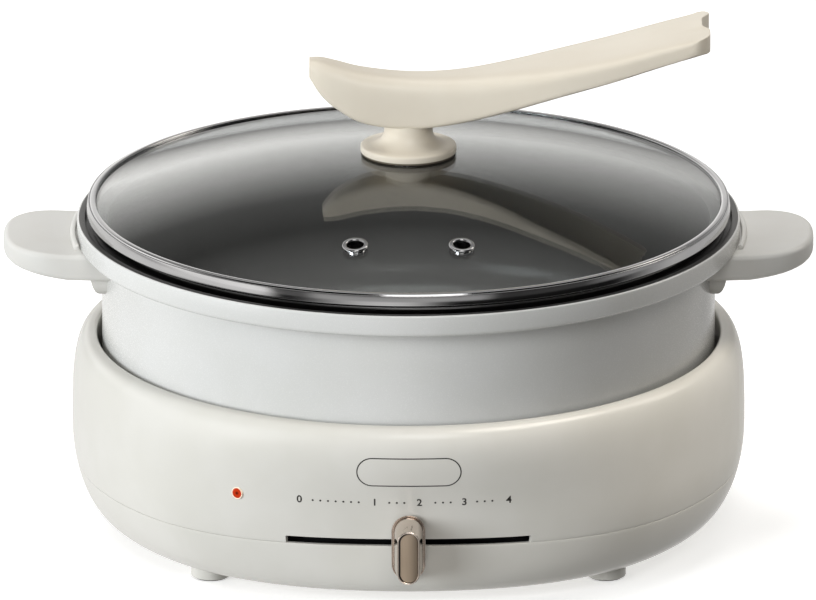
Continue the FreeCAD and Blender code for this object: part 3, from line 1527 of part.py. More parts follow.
def fork_prism():
    """The grip's plan at its tail: two rounded lobes with a notch between them."""
    tail, wide, lobe = GRIP_TAIL_REACH, GRIP_TAIL_HALF_WIDTH + GRIP_TRIM / 2, FORK_LOBE_ROUND
    notch, half_notch = tail - FORK_NOTCH_DEPTH, FORK_NOTCH_HALF_WIDTH
    start = -GRIP_NOSE_REACH - OVERCUT
    diagonal = lobe * (1 - 1 / math.sqrt(2))
    fork = Part.BSplineCurve()
    fork.interpolate([
        Vector(tail, -wide + lobe, 0),
        Vector(tail - 0.05 * FORK_NOTCH_DEPTH, -half_notch, 0),
        Vector(notch, 0, 0),
        Vector(tail - 0.05 * FORK_NOTCH_DEPTH, half_notch, 0),
        Vector(tail, wide - lobe, 0),
    ])
    front_corner = Part.Arc(
        Vector(tail - lobe, -wide, 0), Vector(tail - diagonal, -wide + diagonal, 0),
        Vector(tail, -wide + lobe, 0),
    )
    back_corner = Part.Arc(
        Vector(tail, wide - lobe, 0), Vector(tail - diagonal, wide - diagonal, 0),
        Vector(tail - lobe, wide, 0),
    )
    outline = Part.Wire([
        Part.makeLine(Vector(start, -wide, 0), Vector(tail - lobe, -wide, 0)),
        front_corner.toShape(),
        fork.toShape(),
        back_corner.toShape(),
        Part.makeLine(Vector(tail - lobe, wide, 0), Vector(start, wide, 0)),
        Part.makeLine(Vector(start, wide, 0), Vector(start, -wide, 0)),
    ])
    return Part.Face(outline).extrude(Vector(0, 0, NECK_TOP + 2 * GRIP_TAIL_RISE))


def grip_form():
    """The grip with no screw hole: a thick belly over the neck and a forked tail."""
    sections = [grip_section(*station) for station in grip_stations()]
    return Part.makeLoft(sections, True, False).common(fork_prism())


def make_lid_grip():
    return grip_form().cut(cylinder(KNOB_SCREW_RADIUS, 0, knob_screw_top()))


# ------------------------------------------------------------------------------ the pieces
def all_nodes():
    """Every piece by the name of its file."""
    nodes = {
        "upper_shell": make_upper_shell(),
        "lower_shell": make_lower_shell(),
        "heat_shield": make_heat_shield(),
        "heating_plate": make_heating_plate(),
        "heating_tube": make_heating_tube(),
        "heater_supports": make_heater_supports(),
        "sensor_holder": make_sensor_holder(),
        "sensor_spring": make_sensor_spring(),
        "sensor_button": make_sensor_button(),
        "thermal_fuse": make_thermal_fuse(),
        "slider_rail": make_slider_rail(),
        "slider_carriage": make_slider_carriage(),
        "slider_knob": make_slider_knob(),
        "knob_insert": make_knob_insert(),
        "control_board": make_control_board(),
        "board_components": make_board_components(),
        "board_screws": make_board_screws(),
        "indicator_lens": make_indicator_lens(),
        "indicator_led": make_indicator_led(),
        "indicator_board": make_indicator_board(),
        "power_inlet": make_power_inlet(),
        "inlet_pins": make_inlet_pins(),
        "inlet_leads": make_inlet_leads(),
        "heater_leads": make_heater_leads(),
        "case_screws": make_case_screws(),
        "pan_body": make_pan_body(),
        "pan_lining": make_pan_lining(),
        "base_disc": make_base_disc(),
        "handle_left": make_handle(-1),
        "handle_right": make_handle(1),
        "handle_bracket_left": make_handle_bracket(-1),
        "handle_bracket_right": make_handle_bracket(1),
        "handle_screws": make_handle_screws(),
        "lid_glass": make_lid_glass(),
        "lid_rim": make_lid_rim(),
        "knob_base": make_knob_base(),
        "lid_grip": make_lid_grip(),
        "knob_gasket": make_knob_gasket(),
        "washer_seal": make_washer_seal(),
        "knob_washer": make_knob_washer(),
        "knob_screw": make_knob_screw(),
    }
    for name, (x, y) in foot_places().items():
        nodes["foot_" + name] = make_foot(x, y)
        nodes["foot_pad_" + name] = make_foot_pad(x, y)
    for name, (x, y) in vent_places().items():
        nodes["vent_grommet_" + name] = make_vent_grommet(x, y)
    return nodes


def main():
    os.makedirs("parts", exist_ok=True)
    for name, shape in all_nodes().items():
        if not shape.isValid() or not shape.Solids:
            raise ValueError(name + " isn't a valid solid")
        shape.exportStep("parts/" + name + ".step")
        print(name, len(shape.Solids), "solids,", round(shape.Volume / 1000, 2), "cm3")


main()
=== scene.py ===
"""The looks of an electric hot pot with a lift-off glass lid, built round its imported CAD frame.

Metres throughout, in the row frame: +Z up, the floor at Z = 0, the front with its slide knob
facing -Y, and the grip's fork pointing to +X. Sizes of pieces are held in millimetres.
"""

from __future__ import annotations

import logging
import math
from collections.abc import Callable, Iterable, Mapping, Sequence
from dataclasses import dataclass
from enum import Enum
from functools import cache
from typing import Any

import bmesh
import bpy
from mathutils import Matrix, Vector
from mathutils.bvhtree import BVHTree


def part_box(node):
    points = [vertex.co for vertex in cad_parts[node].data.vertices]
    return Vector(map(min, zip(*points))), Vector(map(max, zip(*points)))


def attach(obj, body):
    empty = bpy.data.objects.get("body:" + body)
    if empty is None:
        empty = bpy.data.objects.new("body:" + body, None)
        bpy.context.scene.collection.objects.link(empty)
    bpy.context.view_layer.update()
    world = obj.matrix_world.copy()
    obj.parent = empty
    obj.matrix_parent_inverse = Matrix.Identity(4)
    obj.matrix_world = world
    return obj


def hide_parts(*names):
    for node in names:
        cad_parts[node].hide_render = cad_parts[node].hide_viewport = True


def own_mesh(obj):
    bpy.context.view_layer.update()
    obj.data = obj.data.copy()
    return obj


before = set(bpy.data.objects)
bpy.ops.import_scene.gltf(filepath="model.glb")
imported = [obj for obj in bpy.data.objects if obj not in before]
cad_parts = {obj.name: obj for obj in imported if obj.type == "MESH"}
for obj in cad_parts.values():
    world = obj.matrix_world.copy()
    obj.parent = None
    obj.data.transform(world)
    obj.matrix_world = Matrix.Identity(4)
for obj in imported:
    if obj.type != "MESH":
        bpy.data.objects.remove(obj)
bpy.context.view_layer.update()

MM = 0.001
TURN = math.tau
report = logging.getLogger("hot_pot")

Colour = tuple[float, float, float, float]
Point = tuple[float, float]
Span = tuple[float, float]


class Body(Enum):
    """The CAD bodies that pieces ride on."""

    BASE = "base"
    SLIDER = "slider"
    SENSOR = "sensor"
    PAN = "pan"
    LID = "lid"


LOWER_BODIES = (Body.BASE, Body.SLIDER)
pieces_of: dict[Body, list[bpy.types.Object]] = {body: [] for body in Body}


def tint(red: int, green: int, blue: int) -> Colour:
    """Turn a screen colour into Blender's linear colour.

    Args:
        red: The red value, 0 to 255.
        green: The green value.
        blue: The blue value.

    Returns:
        The opaque colour in linear light.
    """

    def linear(value: int) -> float:
        """One channel in linear light, by the screen's own curve."""
        share = value / 255
        return share / 12.92 if share <= 0.04045 else ((share + 0.055) / 1.055) ** 2.4

    return linear(red), linear(green), linear(blue), 1.0


# ------------------------------------------------------------------------------ shader writing
class Wire:
    """One output socket of a finish's node tree, with Python's operators for its maths."""

    def __init__(self, recipe: Recipe, socket: bpy.types.NodeSocket) -> None:
        """Keep the tree and the socket that the wire comes from."""
        self.recipe = recipe
        self.socket = socket

    def maths(self, operation: str, *values: Wire | float) -> Wire:
        """Add a Math node.

        Args:
            operation: The node's operation.
            values: Its inputs in order.

        Returns:
            The node's value.
        """
        return self.recipe.node(
            "ShaderNodeMath", {"operation": operation}, dict(enumerate(values))
        )

    def __add__(self, other: Wire | float) -> Wire:
        """This and another value added."""
        return self.maths("ADD", self, other)

    __radd__ = __add__

    def __sub__(self, other: Wire | float) -> Wire:
        """This less another value."""
        return self.maths("SUBTRACT", self, other)

    def __rsub__(self, other: Wire | float) -> Wire:
        """Another value less this."""
        return self.maths("SUBTRACT", other, self)

    def __mul__(self, other: Wire | float) -> Wire:
        """This times another value."""
        return self.maths("MULTIPLY", self, other)

    __rmul__ = __mul__

    def __gt__(self, edge: Wire | float) -> Wire:
        """One where this is above the edge, nought elsewhere."""
        return self.maths("GREATER_THAN", self, edge)

    def root(self) -> Wire:
        """The square root."""
        return self.maths("SQRT", self)

    def size(self) -> Wire:
        """The value without its sign."""
        return self.maths("ABSOLUTE", self)

    def wave(self) -> Wire:
        """The sine."""
        return self.maths("SINE", self)

    def ramp(self, start: float, end: float, low: float = 0.0, high: float = 1.0) -> Wire:
        """Pass smoothly from one value to another.

        Args:
            start: Where the passage starts.
            end: Where it ends.
            low: The value before the start.
            high: The value after the end.

        Returns:
            The passage's value.
        """
        return self.recipe.node(
            "ShaderNodeMapRange",
            {"interpolation_type": "SMOOTHSTEP"},
            {"Value": self, 1: start, 2: end, 3: low, 4: high},
            "Result",
        )


class Recipe:
    """The node tree of one finish or of the world, written node by node."""

    def __init__(self, owner: bpy.types.Material | bpy.types.World) -> None:
        """Empty the owner's tree.

        Args:
            owner: The material or world that has the tree.
        """
        owner.use_nodes = True
        self.tree = owner.node_tree
        self.tree.nodes.clear()

    def node(
        self,
        kind: str,
        settings: Mapping[str, Any] | None = None,
        sockets: Mapping[str | int, Any] | None = None,
        output: str | int = 0,
    ) -> Wire:
        """Add a node, set it, and then fill its sockets.

        Args:
            kind: The node's type.
            settings: Its own settings, and a ramp's stops as "stops".
            sockets: Values or wires by socket name, identifier or place.
            output: The output that is wanted.

        Returns:
            That output.
        """
        made = self.tree.nodes.new(kind)
        for name, value in (settings or {}).items():
            if name == "stops":
                self.set_stops(made, value)
            else:
                setattr(made, name, value)
        for key, value in (sockets or {}).items():
            socket = self.pick(made.inputs, key)
            if isinstance(value, Wire):
                self.tree.links.new(value.socket, socket)
            else:
                socket.default_value = value
        outlet = self.pick(made.outputs, output) if len(made.outputs) else None
        return Wire(self, outlet)

    @staticmethod
    def set_stops(made: bpy.types.Node, stops: Sequence[tuple[float, Colour]]) -> None:
        """Give a colour ramp its stops.

        Args:
            made: The ramp's node.
            stops: Each stop's place and colour, in order.
        """
        elements = made.color_ramp.elements
        while len(elements) > 1:
            elements.remove(elements[-1])
        elements[0].position, elements[0].color = stops[0]
        for place, colour in stops[1:]:
            elements.new(place).color = colour

    @staticmethod
    def pick(sockets: Any, key: str | int) -> bpy.types.NodeSocket:
        """Find a socket.

        Args:
            sockets: The node's inputs or outputs.
            key: Its place, identifier or name.

        Returns:
            The socket.
        """
        if isinstance(key, int):
            return sockets[key]
        return next(s for s in sockets if key in (s.identifier, s.name))

    def place(self, scale: tuple[float, float, float] = (1.0, 1.0, 1.0)) -> Wire:
        """Where a point is on the object, in metres, stretched by a scale."""
        here = self.node("ShaderNodeTexCoord", output="Object")
        return self.node("ShaderNodeMapping", sockets={"Vector": here, "Scale": scale})

    def noise(
        self, scale: float, detail: float = 2.0, stretch: Sequence[float] = (1, 1, 1)
    ) -> Wire:
        """A soft random value.

        Args:
            scale: How many cells there are to a metre.
            detail: How many finer layers it has.
            stretch: The scale along each axis.

        Returns:
            The value, nought to one.
        """
        sockets = {"Vector": self.place(tuple(stretch)), "Scale": scale, "Detail": detail}
        return self.node("ShaderNodeTexNoise", sockets=sockets, output="Fac")

    def cells(self, scale: float, output: str = "Distance") -> Wire:
        """A cell pattern's distance or colour, with the number of cells to a metre."""
        sockets = {"Vector": self.place(), "Scale": scale}
        return self.node("ShaderNodeTexVoronoi", sockets=sockets, output=output)

    def axis(self, name: str) -> Wire:
        """One coordinate, X, Y or Z, of the point on the object, in metres."""
        return self.node("ShaderNodeSeparateXYZ", sockets={0: self.place()}, output=name)

    def blend(self, share: Wire | float, low: Wire | Colour, high: Wire | Colour) -> Wire:
        """Mix two colours.

        Args:
            share: How much of the second there is.
            low: The first colour.
            high: The second colour.

        Returns:
            The mixed colour.
        """
        sockets = {"Factor_Float": share, "A_Color": low, "B_Color": high}
        return self.node("ShaderNodeMix", {"data_type": "RGBA"}, sockets, "Result_Color")

    def bump(self, height: Wire, depth: float, strength: float = 1.0) -> Wire:
        """A normal that follows a height.

        Args:
            height: The height, nought to one.
            depth: What one stands for, in metres.
            strength: How much of the bump shows.

        Returns:
            The bent normal.
        """
        sockets = {"Height": height, "Distance": depth, "Strength": strength}
        return self.node("ShaderNodeBump", sockets=sockets, output="Normal")

    def surface(self, shader: Wire) -> None:
        """Put the last shader on the material's output."""
        self.node("ShaderNodeOutputMaterial", sockets={"Surface": shader})


# ------------------------------------------------------------------------------ finishes
@dataclass(frozen=True)
class Finish:
    """What every finish has: its colour, its gloss and how they wander over the surface.

    Attributes:
        name: The material's name.
        colour: The middle colour.
        second: The colour that it wanders to.
        rough: The middle roughness.
        rough_span: How far the roughness wanders to each side.
        scale: How many patches there are to a metre.
        grain: How many grains there are to a metre.
        grain_depth: The grain's depth, in metres.
        passage: Where in a noise's range the first value passes into the second.
    """

    name: str
    colour: Colour
    second: Colour
    rough: float = 0.35
    rough_span: float = 0.04
    scale: float = 30.0
    grain: float = 2500.0
    grain_depth: float = 0.00001
    passage: Span = (0.3, 0.7)

    def wander(self, pattern: Wire, passage: Span) -> Wire:
        """The roughness, which wanders by a pattern over a part of the pattern's range."""
        low, high = self.rough - self.rough_span, self.rough + self.rough_span
        return pattern.ramp(*passage, low, high)

    def sockets(self, recipe: Recipe) -> dict[str, Any]:
        """The Principled sockets that vary over the surface.

        Args:
            recipe: The tree to write in.

        Returns:
            Wires by socket name.
        """
        patch = recipe.noise(self.scale, 3.0)
        fine = recipe.noise(self.grain, 2.0)
        return {
            "Base Color": recipe.blend(patch.ramp(*self.passage), self.colour, self.second),
            "Roughness": self.wander(fine, self.passage),
            "Normal": recipe.bump(fine, self.grain_depth),
        }

    def constants(self) -> dict[str, Any]:
        """The Principled sockets that are the same all over."""
        return {}

    @cache
    def material(self) -> bpy.types.Material:
        """Make the material, once.

        Returns:
            The material.
        """
        made = bpy.data.materials.new(self.name)
        recipe = Recipe(made)
        sockets = {**self.sockets(recipe), **self.constants()}
        recipe.surface(recipe.node("ShaderNodeBsdfPrincipled", sockets=sockets))
        return made


@dataclass(frozen=True)
class MouldedPlastic(Finish):
    """Injection-moulded plastic: a fine even texture over a slow wander of the mould's polish.

    Attributes:
        sheen_scale: How many slow waves there are to a metre.
        sheen_depth: Their depth, in metres.
        coat: The weight of a clear coat.
        coat_rough: The coat's roughness.
    """

    sheen_scale: float = 9.0
    sheen_depth: float = 0.00012
    coat: float = 0.0
    coat_rough: float = 0.08

    def sockets(self, recipe: Recipe) -> dict[str, Any]:
        """The plain wires with the slow wander under the fine texture.

        Args:
            recipe: The tree to write in.

        Returns:
            Wires by socket name.
        """
        wires = super().sockets(recipe)
        slow = recipe.noise(self.sheen_scale, 1.0)
        fine = recipe.noise(self.grain, 2.0)
        height = slow * (self.sheen_depth / self.grain_depth) + fine
        wires["Normal"] = recipe.bump(height, self.grain_depth)
        return wires

    def constants(self) -> dict[str, Any]:
        """A plastic's gloss."""
        return {"IOR": 1.5, "Coat Weight": self.coat, "Coat Roughness": self.coat_rough}


@dataclass(frozen=True)
class Enamel(MouldedPlastic):
    """Sprayed and fired coating: smooth, with a faint orange-peel."""

    peel: float = 420.0
    peel_depth: float = 0.00002

    def sockets(self, recipe: Recipe) -> dict[str, Any]:
        """The plastic's wires with the orange-peel in place of the texture.

        Args:
            recipe: The tree to write in.

        Returns:
            Wires by socket name.
        """
        wires = super().sockets(recipe)
        wires["Normal"] = recipe.bump(recipe.noise(self.peel, 1.0), self.peel_depth)
        return wires


@dataclass(frozen=True)
class NonStick(Finish):
    """A dark coating with sparse pale flecks in it.

    Attributes:
        fleck: The flecks' colour.
        fleck_scale: How many cells there are to a metre.
        fleck_size: A fleck's size, as a share of its cell.
        fleck_core: The share of that size that is full strength.
        fleck_strength: How strong a full fleck is.
        cluster: How many cells lie across a cluster of flecks.
        clustering: Where in the clusters' noise the flecks set in.
    """

    fleck: Colour = (0.2, 0.2, 0.2, 1.0)
    fleck_scale: float = 700.0
    fleck_size: float = 0.16
    fleck_core: float = 0.6
    fleck_strength: float = 0.6
    cluster: float = 3.0
    clustering: Span = (0.52, 0.62)

    def sockets(self, recipe: Recipe) -> dict[str, Any]:
        """The plain wires with flecks laid over the colour.

        Args:
            recipe: The tree to write in.

        Returns:
            Wires by socket name.
        """
        wires = super().sockets(recipe)
        cells = recipe.cells(self.fleck_scale)
        fleck = cells.ramp(self.fleck_size, self.fleck_core * self.fleck_size)
        rare = recipe.noise(self.fleck_scale / self.cluster, 1.0).ramp(*self.clustering)
        share = fleck * rare * self.fleck_strength
        wires["Base Color"] = recipe.blend(share, wires["Base Color"], self.fleck)
        return wires


@dataclass(frozen=True)
class Metal(Finish):
    """Bare or plated metal with brushing along one axis, or round the Z axis.

    Attributes:
        stretch: The brushing's scale along each axis, small along its lines.
        brush: How many lines there are to a metre.
        brush_depth: Their depth, in metres.
        brush_passage: Where in the lines' range the roughness passes over.
    """

    stretch: tuple[float, float, float] = (1.0, 1.0, 1.0)
    brush: float = 3000.0
    brush_depth: float = 0.000002
    brush_passage: Span = (0.25, 0.75)

    def sockets(self, recipe: Recipe) -> dict[str, Any]:
        """The plain wires with brushed lines in the roughness and the bump.

        Args:
            recipe: The tree to write in.

        Returns:
            Wires by socket name.
        """
        wires = super().sockets(recipe)
        lines = recipe.noise(self.brush, 3.0, self.stretch)
        wires["Roughness"] = self.wander(lines, self.brush_passage)
        wires["Normal"] = recipe.bump(lines, self.brush_depth)
        return wires

    def constants(self) -> dict[str, Any]:
        """A metal's shine."""
        return {"Metallic": 1.0}


@dataclass(frozen=True)
class CastMetal(Metal):
    """Cast aluminium, turned on its face and grainy elsewhere.

    Attributes:
        pit: How many pits there are to a metre.
        pit_depth: Their depth, in metres.
        ring_turn: How far the turning rings' wave runs in a metre, in radians.
        ring_depth: The rings' depth, as a share of the pits'.
    """

    pit: float = 900.0
    pit_depth: float = 0.00003
    ring_turn: float = 9000.0
    ring_depth: float = 0.3

    def sockets(self, recipe: Recipe) -> dict[str, Any]:
        """Turning rings in the roughness, and the casting's pits in the bump.

        Args:
            recipe: The tree to write in.

        Returns:
            Wires by socket name.
        """
        wires = super().sockets(recipe)
        across, along = recipe.axis("X"), recipe.axis("Y")
        radius = (across * across + along * along).root()
        rings = (radius * self.ring_turn).wave() * 0.5 + 0.5
        pits = recipe.noise(self.pit, 3.0)
        wires["Roughness"] = rings * self.rough_span + self.rough
        wires["Normal"] = recipe.bump(pits + rings * self.ring_depth, self.pit_depth)
        return wires


@dataclass(frozen=True)
class ClearGlass(Finish):
    """Toughened glass with the faintest waviness.

    Attributes:
        wear: How many patches of wear there are to a metre.
        worn: Where in their range the wear sets in.
    """

    wear: float = 60.0
    worn: Span = (0.4, 0.8)

    def sockets(self, recipe: Recipe) -> dict[str, Any]:
        """The film of wear on the glass: its roughness and a slow wave.

        Args:
            recipe: The tree to write in.

        Returns:
            Wires by socket name.
        """
        slow, wear = recipe.noise(self.scale, 1.0), recipe.noise(self.wear, 3.0)
        return {
            "Base Color": recipe.blend(slow, self.colour, self.second),
            "Roughness": wear.ramp(*self.worn, self.rough, self.rough_span),
            "Normal": recipe.bump(slow, self.grain_depth),
        }

    def constants(self) -> dict[str, Any]:
        """What lets light through."""
        return {"Transmission Weight": 1.0, "IOR": 1.5}


@dataclass(frozen=True)
class Glow(Finish):
    """A tinted lens, lit from within and darker at its middle.

    Attributes:
        middle: The lens's middle, in metres.
        radius: Its radius, in metres.
        heart: The darker colour at its middle.
        heart_span: Where the heart passes into the rest, as shares of the radius.
        strength: The strength of the light.
    """

    middle: tuple[float, float, float] = (-0.0786, -0.1322, 0.054)
    radius: float = 0.0024
    heart: Colour = (0.11, 0.008, 0.002, 1.0)
    heart_span: Span = (0.12, 0.5)
    strength: float = 0.12

    def sockets(self, recipe: Recipe) -> dict[str, Any]:
        """The lens's colour and its light, by the distance from its middle.

        Args:
            recipe: The tree to write in.

        Returns:
            Wires by socket name.
        """
        wires = super().sockets(recipe)
        offset = recipe.node(
            "ShaderNodeVectorMath",
            {"operation": "DISTANCE"},
            {0: recipe.place(), 1: self.middle},
            "Value",
        )
        start, end = self.heart_span
        share = offset.ramp(start * self.radius, end * self.radius)
        wires["Base Color"] = recipe.blend(share, self.heart, self.colour)
        wires["Emission Color"] = recipe.blend(share, self.heart, self.second)
        return wires

    def constants(self) -> dict[str, Any]:
        """The lens's gloss and the strength of its light."""
        return {"Emission Strength": self.strength, "IOR": 1.49, "Coat Weight": 0.3}


@dataclass(frozen=True)
class LitPaper(Finish):
    """White paper on a light table, which takes the weight out of shadows."""

    glow: float = 0.45

    def constants(self) -> dict[str, Any]:
        """The table's light."""
        return {"Emission Color": (1.0, 1.0, 1.0, 1.0), "Emission Strength": self.glow}


@dataclass(frozen=True)
class Board(Finish):
    """A circuit board: solder mask over copper tracks.

    Attributes:
        track: The colour over a track.
        pitch: The tracks' pitch across, in metres, a third of that along.
        edges: The wave's heights above which there is a track, across and along.
        track_depth: How far a track stands up, in metres.
    """

    track: Colour = (0.03, 0.16, 0.06, 1.0)
    pitch: float = 0.0025
    edges: Point = (0.75, -0.6)
    track_depth: float = 0.00004

    def sockets(self, recipe: Recipe) -> dict[str, Any]:
        """The plain wires with a grid of tracks in the colour and the bump.

        Args:
            recipe: The tree to write in.

        Returns:
            Wires by socket name.
        """
        wires = super().sockets(recipe)
        across = (recipe.axis("X") * (TURN / self.pitch)).wave()
        along = (recipe.axis("Y") * (TURN / self.pitch / 3)).wave()
        tracks = (across > self.edges[0]) * (along > self.edges[1])
        wires["Base Color"] = recipe.blend(tracks, wires["Base Color"], self.track)
        wires["Normal"] = recipe.bump(tracks, self.track_depth)
        return wires


IVORY = MouldedPlastic("ivory_plastic", tint(212, 210, 204), tint(208, 206, 199), 0.24, 0.03)
WARM_WHITE = MouldedPlastic("handle_plastic", tint(212, 211, 207), tint(208, 206, 201), 0.34, 0.03)
CREAM = MouldedPlastic("grip_plastic", tint(221, 213, 198), tint(217, 208, 192), 0.36, 0.03)
PAN_WHITE = Enamel("pan_enamel", tint(211, 211, 209), tint(208, 208, 205), 0.26, 0.02, coat=0.3)
LINING = NonStick("non_stick_lining", tint(52, 51, 50), tint(44, 43, 42), 0.36, 0.05,
                  grain_depth=0.000002)
CLEAR = ClearGlass("lid_glass_clear", tint(244, 247, 246), tint(240, 245, 244), 0.0, 0.01,
                   6.0, 1.0, 0.00003)
RIM = Metal("rim_steel", tint(192, 192, 193), tint(184, 184, 186), 0.12, 0.02,
            stretch=(0.02, 0.02, 1.0), brush_depth=0.0000004, grain_depth=0.000001)
CHAMPAGNE = Metal("knob_champagne", tint(232, 220, 210), tint(226, 213, 202), 0.14, 0.04,
                  stretch=(1.0, 1.0, 0.05))
INSERT = Metal("insert_champagne", tint(196, 178, 158), tint(186, 168, 148), 0.36, 0.06,
               stretch=(1.0, 1.0, 0.03))
LENS = Glow("indicator_lens", tint(182, 52, 20), tint(214, 70, 26), 0.18, 0.02)
# The collar's pale warm colour is a painted glow from the indicator lens, not light from it.
PAINTED_LENS_GLOW = MouldedPlastic("lens_collar", tint(255, 238, 214), tint(250, 226, 196), 0.3, 0.03)
RUBBER = MouldedPlastic("rubber", tint(58, 56, 54), tint(50, 48, 46), 0.62, 0.06, grain=900.0)
# A seal under the flange, partly real: its olive-brown colour is a painted reflection of the
# flange's shaded side in the glass.
SEAL_WITH_PAINTED_REFLECTION = MouldedPlastic("flange_seal_rubber", tint(108, 100, 86), tint(100, 92, 79), 0.5, 0.05)
DARK = MouldedPlastic("dark_plastic", tint(34, 34, 35), tint(28, 28, 29), 0.45, 0.05)
BOARD = Board("circuit_board", tint(18, 74, 44), tint(16, 66, 40), 0.35, 0.05)
LED = Glow("indicator_led", tint(250, 120, 60), tint(255, 140, 70), 0.2, 0.02, radius=0.006)
SLEEVE = MouldedPlastic("lead_sleeve", tint(214, 210, 200), tint(204, 200, 190), 0.55, 0.05)
CAST = CastMetal("cast_aluminium", tint(188, 189, 190), tint(176, 177, 179), 0.34, 0.12)
SHEET = Metal("sheet_steel", tint(186, 187, 189), tint(174, 175, 178), 0.26, 0.08,
              stretch=(1.0, 0.04, 1.0))
SCREW = Metal("screw_steel", tint(176, 175, 170), tint(160, 159, 155), 0.28, 0.08)
BRASS = Metal("pin_brass", tint(206, 178, 110), tint(196, 168, 100), 0.24, 0.06,
              stretch=(1.0, 0.05, 1.0))
PAPER = LitPaper("floor_paper", tint(252, 252, 252), tint(249, 249, 249), 0.6, 0.05, 2.0)
INK = MouldedPlastic("printed_ink", tint(44, 41, 38), tint(38, 35, 33), 0.55, 0.05)

FINISH_OF_SLOT: dict[str, Finish] = {
    "base_plastic": IVORY,
    "handle_plastic": WARM_WHITE,
    "grip_plastic": CREAM,
    "pan_enamel": PAN_WHITE,
    "non_stick": LINING,
    "glass": CLEAR,
    "rim_steel": RIM,
    "knob_metal": CHAMPAGNE,
    "insert_metal": INSERT,
    "lens_plastic": LENS,
    "rubber": RUBBER,
    "dark_plastic": DARK,
    "board": BOARD,
    "led": LED,
    "lead_sleeve": SLEEVE,
    "cast_aluminium": CAST,
    "sheet_steel": SHEET,
    "screw_steel": SCREW,
    "brass": BRASS,
}


# ------------------------------------------------------------------------------ studio
@dataclass
class Viewpoint:
    """The camera, far off and a little above, looking down at the front.

    Attributes:
        place: Where it stands, in metres.
        aim: The point that it looks at.
        lens: Its focal length, in millimetres.
        sensor: The width of its sensor, in millimetres.
        view: The nearest and farthest that it sees, in metres.
    """

    place: tuple[float, float, float] = (-0.00023, -7.141, 2.397)
    aim: tuple[float, float, float] = (-0.00023, 0.0, 0.1045)
    lens: float = 711.0
    sensor: float = 36.0
    view: Span = (0.1, 60.0)

    def set_up(self) -> None:
        """Make the camera and use it."""
        data = bpy.data.cameras.new("viewpoint")
        data.lens, data.sensor_width = self.lens, self.sensor
        data.clip_start, data.clip_end = self.view
        camera = bpy.data.objects.new("viewpoint", data)
        bpy.context.scene.collection.objects.link(camera)
        camera.location = self.place
        look = Vector(self.aim) - Vector(self.place)
        camera.rotation_euler = look.to_track_quat("-Z", "Y").to_euler()
        bpy.context.scene.camera = camera


@dataclass
class Softbox:
    """One flat studio light that faces the object.

    Attributes:
        name: The light's name.
        place: Where it stands, in metres.
        size: Its width, and its height where that isn't given.
        power: Its power, in watts.
        aim: The point that it faces.
        height: Its height, or nought for a square one.
        colour: The colour of its light.
        mirrored: Whether it shows in what shines.
        only: The bodies that it lights, or none for all.
    """

    name: str
    place: tuple[float, float, float]
    size: float
    power: float
    aim: tuple[float, float, float] = (0.0, 0.0, 0.1)
    height: float = 0.0
    colour: tuple[float, float, float] = (1.0, 1.0, 1.0)
    mirrored: bool = True
    only: tuple[Body, ...] = ()

    def hang(self) -> None:
        """Make the light and turn it to its aim."""
        data = bpy.data.lights.new(self.name, "AREA")
        data.shape = "RECTANGLE"
        data.size, data.size_y = self.size, self.height or self.size
        data.energy, data.color = self.power, self.colour
        lamp = bpy.data.objects.new(self.name, data)
        bpy.context.scene.collection.objects.link(lamp)
        lamp.location, lamp.visible_glossy = self.place, self.mirrored
        look = Vector(self.aim) - Vector(self.place)
        lamp.rotation_euler = look.to_track_quat("-Z", "Y").to_euler()
        if self.only:
            reached = bpy.data.collections.new(f"reached_by_{self.name}")
            for piece in (piece for body in self.only for piece in pieces_of[body]):
                reached.objects.link(piece)
            lamp.light_linking.receiver_collection = reached


